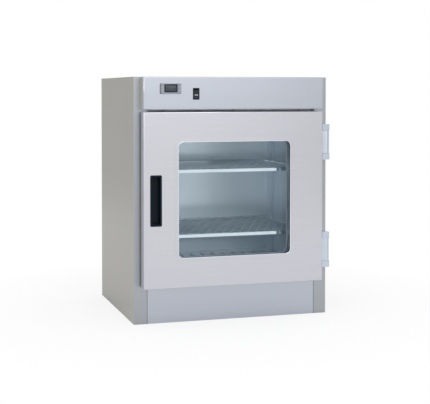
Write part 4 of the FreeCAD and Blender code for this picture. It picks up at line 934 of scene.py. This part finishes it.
# Each end of a frame leaf's chamfer, from the hinge's axis, and how far it moves.
CHAMFER_MOVES = (((-0.014, -0.011), (-0.0020, 0.0)), ((-0.019, -0.002), (0.0, -0.0019)))
SAME_PLACE = 1e-4


def fill_notch(shape):
    """Move a frame leaf's chamfer outwards, to just inside the circle that the door's edge keeps clear."""
    for vert in shape.verts:
        x, y = vert.co.x - HINGE_X, vert.co.y - HINGE_Y
        for place, move in CHAMFER_MOVES:
            if abs(x - place[0]) < SAME_PLACE and abs(y - place[1]) < SAME_PLACE:
                vert.co.x += move[0]
                vert.co.y += move[1]


PLATE_HOLLOW, PLATE_EDGE, PLATE_FRONT = 0.0202, -0.020, -0.0116       # from the hinge's axis
PLATE_STEPS, PLATE_END_GAP = 8, 0.0003


def make_hinge_plates():
    """The ends of each door leaf's plate, hollowed round the frame leaf's blocks."""
    start = math.atan2(PLATE_FRONT, -math.sqrt(PLATE_HOLLOW ** 2 - PLATE_FRONT ** 2))
    end = math.atan2(-math.sqrt(PLATE_HOLLOW ** 2 - PLATE_EDGE ** 2), PLATE_EDGE)
    corners = [(PLATE_EDGE, PLATE_FRONT)]
    for step in range(PLATE_STEPS + 1):
        angle = start + (end - start) * step / PLATE_STEPS
        corners.append((PLATE_HOLLOW * math.cos(angle), PLATE_HOLLOW * math.sin(angle)))
    outline = [(HINGE_X + x, HINGE_Y + y) for x, y in corners]
    for place in ("upper", "lower"):
        low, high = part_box(f"{place}_hinge_frame_leaf")
        inner_low, inner_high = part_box(f"{place}_hinge_door_leaf")
        shape = bmesh.new()
        add_bar(shape, outline, 2, low[2] + PLATE_END_GAP, inner_low[2])
        add_bar(shape, outline, 2, inner_high[2], high[2] - PLATE_END_GAP)
        make_piece(f"{place}_hinge_door_plate", shape, "door", "hinge_metal", crease=30.0)


# Studio ------------------------------------------------------------------------------------------

WHITE = (1.0, 1.0, 1.0, 1.0)
WORLD_LAMP = 0.8
MIRROR_RAYS = ("Is Glossy Ray", "Is Transmission Ray")


def make_world():
    """A background that is white to the eye and in reflections, and plainer as a lamp."""
    world = bpy.data.worlds.new("studio")
    bpy.context.scene.world = world
    nodes = Nodes(world)
    lamp = nodes.add("ShaderNodeBackground", Color=WHITE, Strength=WORLD_LAMP)
    white = nodes.add("ShaderNodeBackground", Color=WHITE)
    nodes.finish(nodes.mix_shaders(nodes.rays("Is Camera Ray", *MIRROR_RAYS), lamp, white))


def flat_sheet(name, corners):
    mesh = bpy.data.meshes.new(name)
    mesh.from_pydata(corners, [], [(0, 1, 2, 3)])
    thing = bpy.data.objects.new(name, mesh)
    bpy.context.collection.objects.link(thing)
    return thing


FLOOR_REACH = 9.0
FLOOR_GREY = (0.93, 0.93, 0.93, 1.0)
# Where the floor turns plain white: for which rays, from where, how white at least, and from what
# distance to what distance.
FLOOR_FADES = ((("Is Camera Ray",), (0.0, 0.0, 0.0), 0.78, 0.45, 1.2),
               (MIRROR_RAYS, (0.1, 0.6, 0.0), 0.15, 0.6, 3.2))


def make_floor():
    """Pale floor: it keeps the shadow near the cabinet and runs out into plain white."""
    floor = flat_sheet("floor", [(x * FLOOR_REACH, y * FLOOR_REACH, 0.0)
                                 for x, y in ((-1, -1), (1, -1), (1, 1), (-1, 1))])
    nodes = new_material("floor_white")
    matt = nodes.add("ShaderNodeBsdfDiffuse", Color=FLOOR_GREY)
    white = nodes.add("ShaderNodeEmission")
    place = nodes.add("ShaderNodeTexCoord").outputs["Object"]
    shares = []
    for kinds, middle, least, start, end in FLOOR_FADES:
        distance = nodes.add("ShaderNodeVectorMath", operation="DISTANCE")
        nodes.link(place, distance.inputs[0])
        distance.inputs[1].default_value = middle
        fade = nodes.span(distance.outputs["Value"], least, 1.0, start, end)
        shares.append(nodes.sum_or_product("MULTIPLY", fade, nodes.rays(*kinds)))
    floor.data.materials.append(nodes.finish(
        nodes.mix_shaders(nodes.sum_or_product("ADD", *shares), matt, white)))


def make_card(name, corners, grey):
    """Grey card out of the camera's sight, which the steel mirrors."""
    card = flat_sheet(name, corners)
    nodes = new_material(name)
    card.data.materials.append(nodes.finish(nodes.add("ShaderNodeBsdfDiffuse", Color=(*grey, 1.0))))
    card.visible_camera = False
    card.visible_diffuse = False
    card.visible_shadow = False


def upright(start, end, top):
    """Corners of an upright sheet over the line from start to end."""
    return [(*start, 0.0), (*end, 0.0), (*end, top), (*start, top)]


def area_light(name, place, aim, size, power):
    lamp = bpy.data.lights.new(name, "AREA")
    lamp.shape = "RECTANGLE"
    lamp.size, lamp.size_y = size
    lamp.energy = power
    thing = bpy.data.objects.new(name, lamp)
    bpy.context.collection.objects.link(thing)
    thing.location = place
    thing.rotation_euler = (Vector(aim) - Vector(place)).to_track_quat("-Z", "Y").to_euler()
    return thing


PHOTO_WIDTH, PHOTO_HEIGHT = 430, 404
FOCAL_PIXELS = 1062.4
AXIS_ROW = 123.0                      # the row of the photo that the lens points at
SENSOR = 36.0
CAMERA_YAW, CAMERA_PITCH = 0.2985, 0.0297
CAMERA_PLACE = (-1.2404, -4.1144, 0.8605)


def make_camera():
    data = bpy.data.cameras.new("camera")
    data.sensor_width = SENSOR
    data.lens = SENSOR * FOCAL_PIXELS / PHOTO_WIDTH
    data.shift_y = (AXIS_ROW - PHOTO_HEIGHT / 2) / PHOTO_WIDTH
    camera = bpy.data.objects.new("camera", data)
    bpy.context.collection.objects.link(camera)
    camera.location = CAMERA_PLACE
    camera.rotation_euler = (math.pi / 2 - CAMERA_PITCH, 0.0, -CAMERA_YAW)
    bpy.context.scene.camera = camera
    bpy.context.scene.view_settings.view_transform = "Standard"


# Build -------------------------------------------------------------------------------------------

FOLD, SMALL_FOLD, EASED = 0.0018, 0.0012, 0.0005
# How much of a face's direction has to point at an end, up or forwards, to count as facing there, for the
# painted light and shade that tint_faces gives.
END_LEAN, TOP_LEAN, FRONT_LEAN = 0.6, 0.3, 0.35

make_camera()
make_world()
make_floor()
make_card("card_back_left", upright(start=(-3.6, 0.6), end=(-0.9, 4.2), top=3.4), grey=(0.86, 0.85, 0.825))
make_card("card_right", upright(start=(2.1, -4.6), end=(4.0, -1.5), top=3.0), grey=(0.62, 0.62, 0.62))
area_light("key", place=(1.1, -3.9, 1.8), aim=(0, 0, 0.5), size=(1.4, 2.0), power=2.5)
area_light("fill", place=(0.1, -4.4, 2.3), aim=(0, 0, 0.45), size=(1.5, 1.5), power=38)
area_light("overhead", place=(-0.6, -1.6, 3.0), aim=(0, 0, 0.4), size=(2.4, 2.4), power=8)
dress_nodes()
make_controller()
make_switch_marks()
for shelf in ("upper_shelf", "lower_shelf"):
    make_shelf(shelf)
make_screws()
make_back()
make_gland()
make_door_seal()
make_joints()
make_glazing_bead()
make_hinge_plates()
panel_box = soften("control_panel", FOLD)
# The control panel's end faces get the lighter copy: painted light.
tint_faces(panel_box, "light_painted_end_faces", lambda normal: abs(normal.x) > END_LEAN)
# The control panel's upward faces get the darker copy: painted shade along its top fold.
tint_faces(panel_box, "shade_painted_steel", lambda normal: normal.z > TOP_LEAN)
soften("door_outer_skin", FOLD)
soften("kick_panel", SMALL_FOLD)
# The side panels: painted shade in their sides' darker steel, and in the darker copy on their front stiles.
for node in ("left_side_panel", "right_side_panel"):
    side_panel = soften(node, FOLD, finish="warm_side_shaded_steel")
    tint_faces(side_panel, "shade_painted_steel", lambda normal: normal.y < -FRONT_LEAN)
for node in ("window_trim", "handle_cup", "switch_housing", "upper_hinge_door_leaf", "lower_hinge_door_leaf"):
    soften(node, edge=EASED)
soften("power_rocker", edge=EASED, finish="rocker_black")
for node in ("upper_hinge_frame_leaf", "lower_hinge_frame_leaf"):
    soften(node, edge=EASED, reshape=fill_notch)
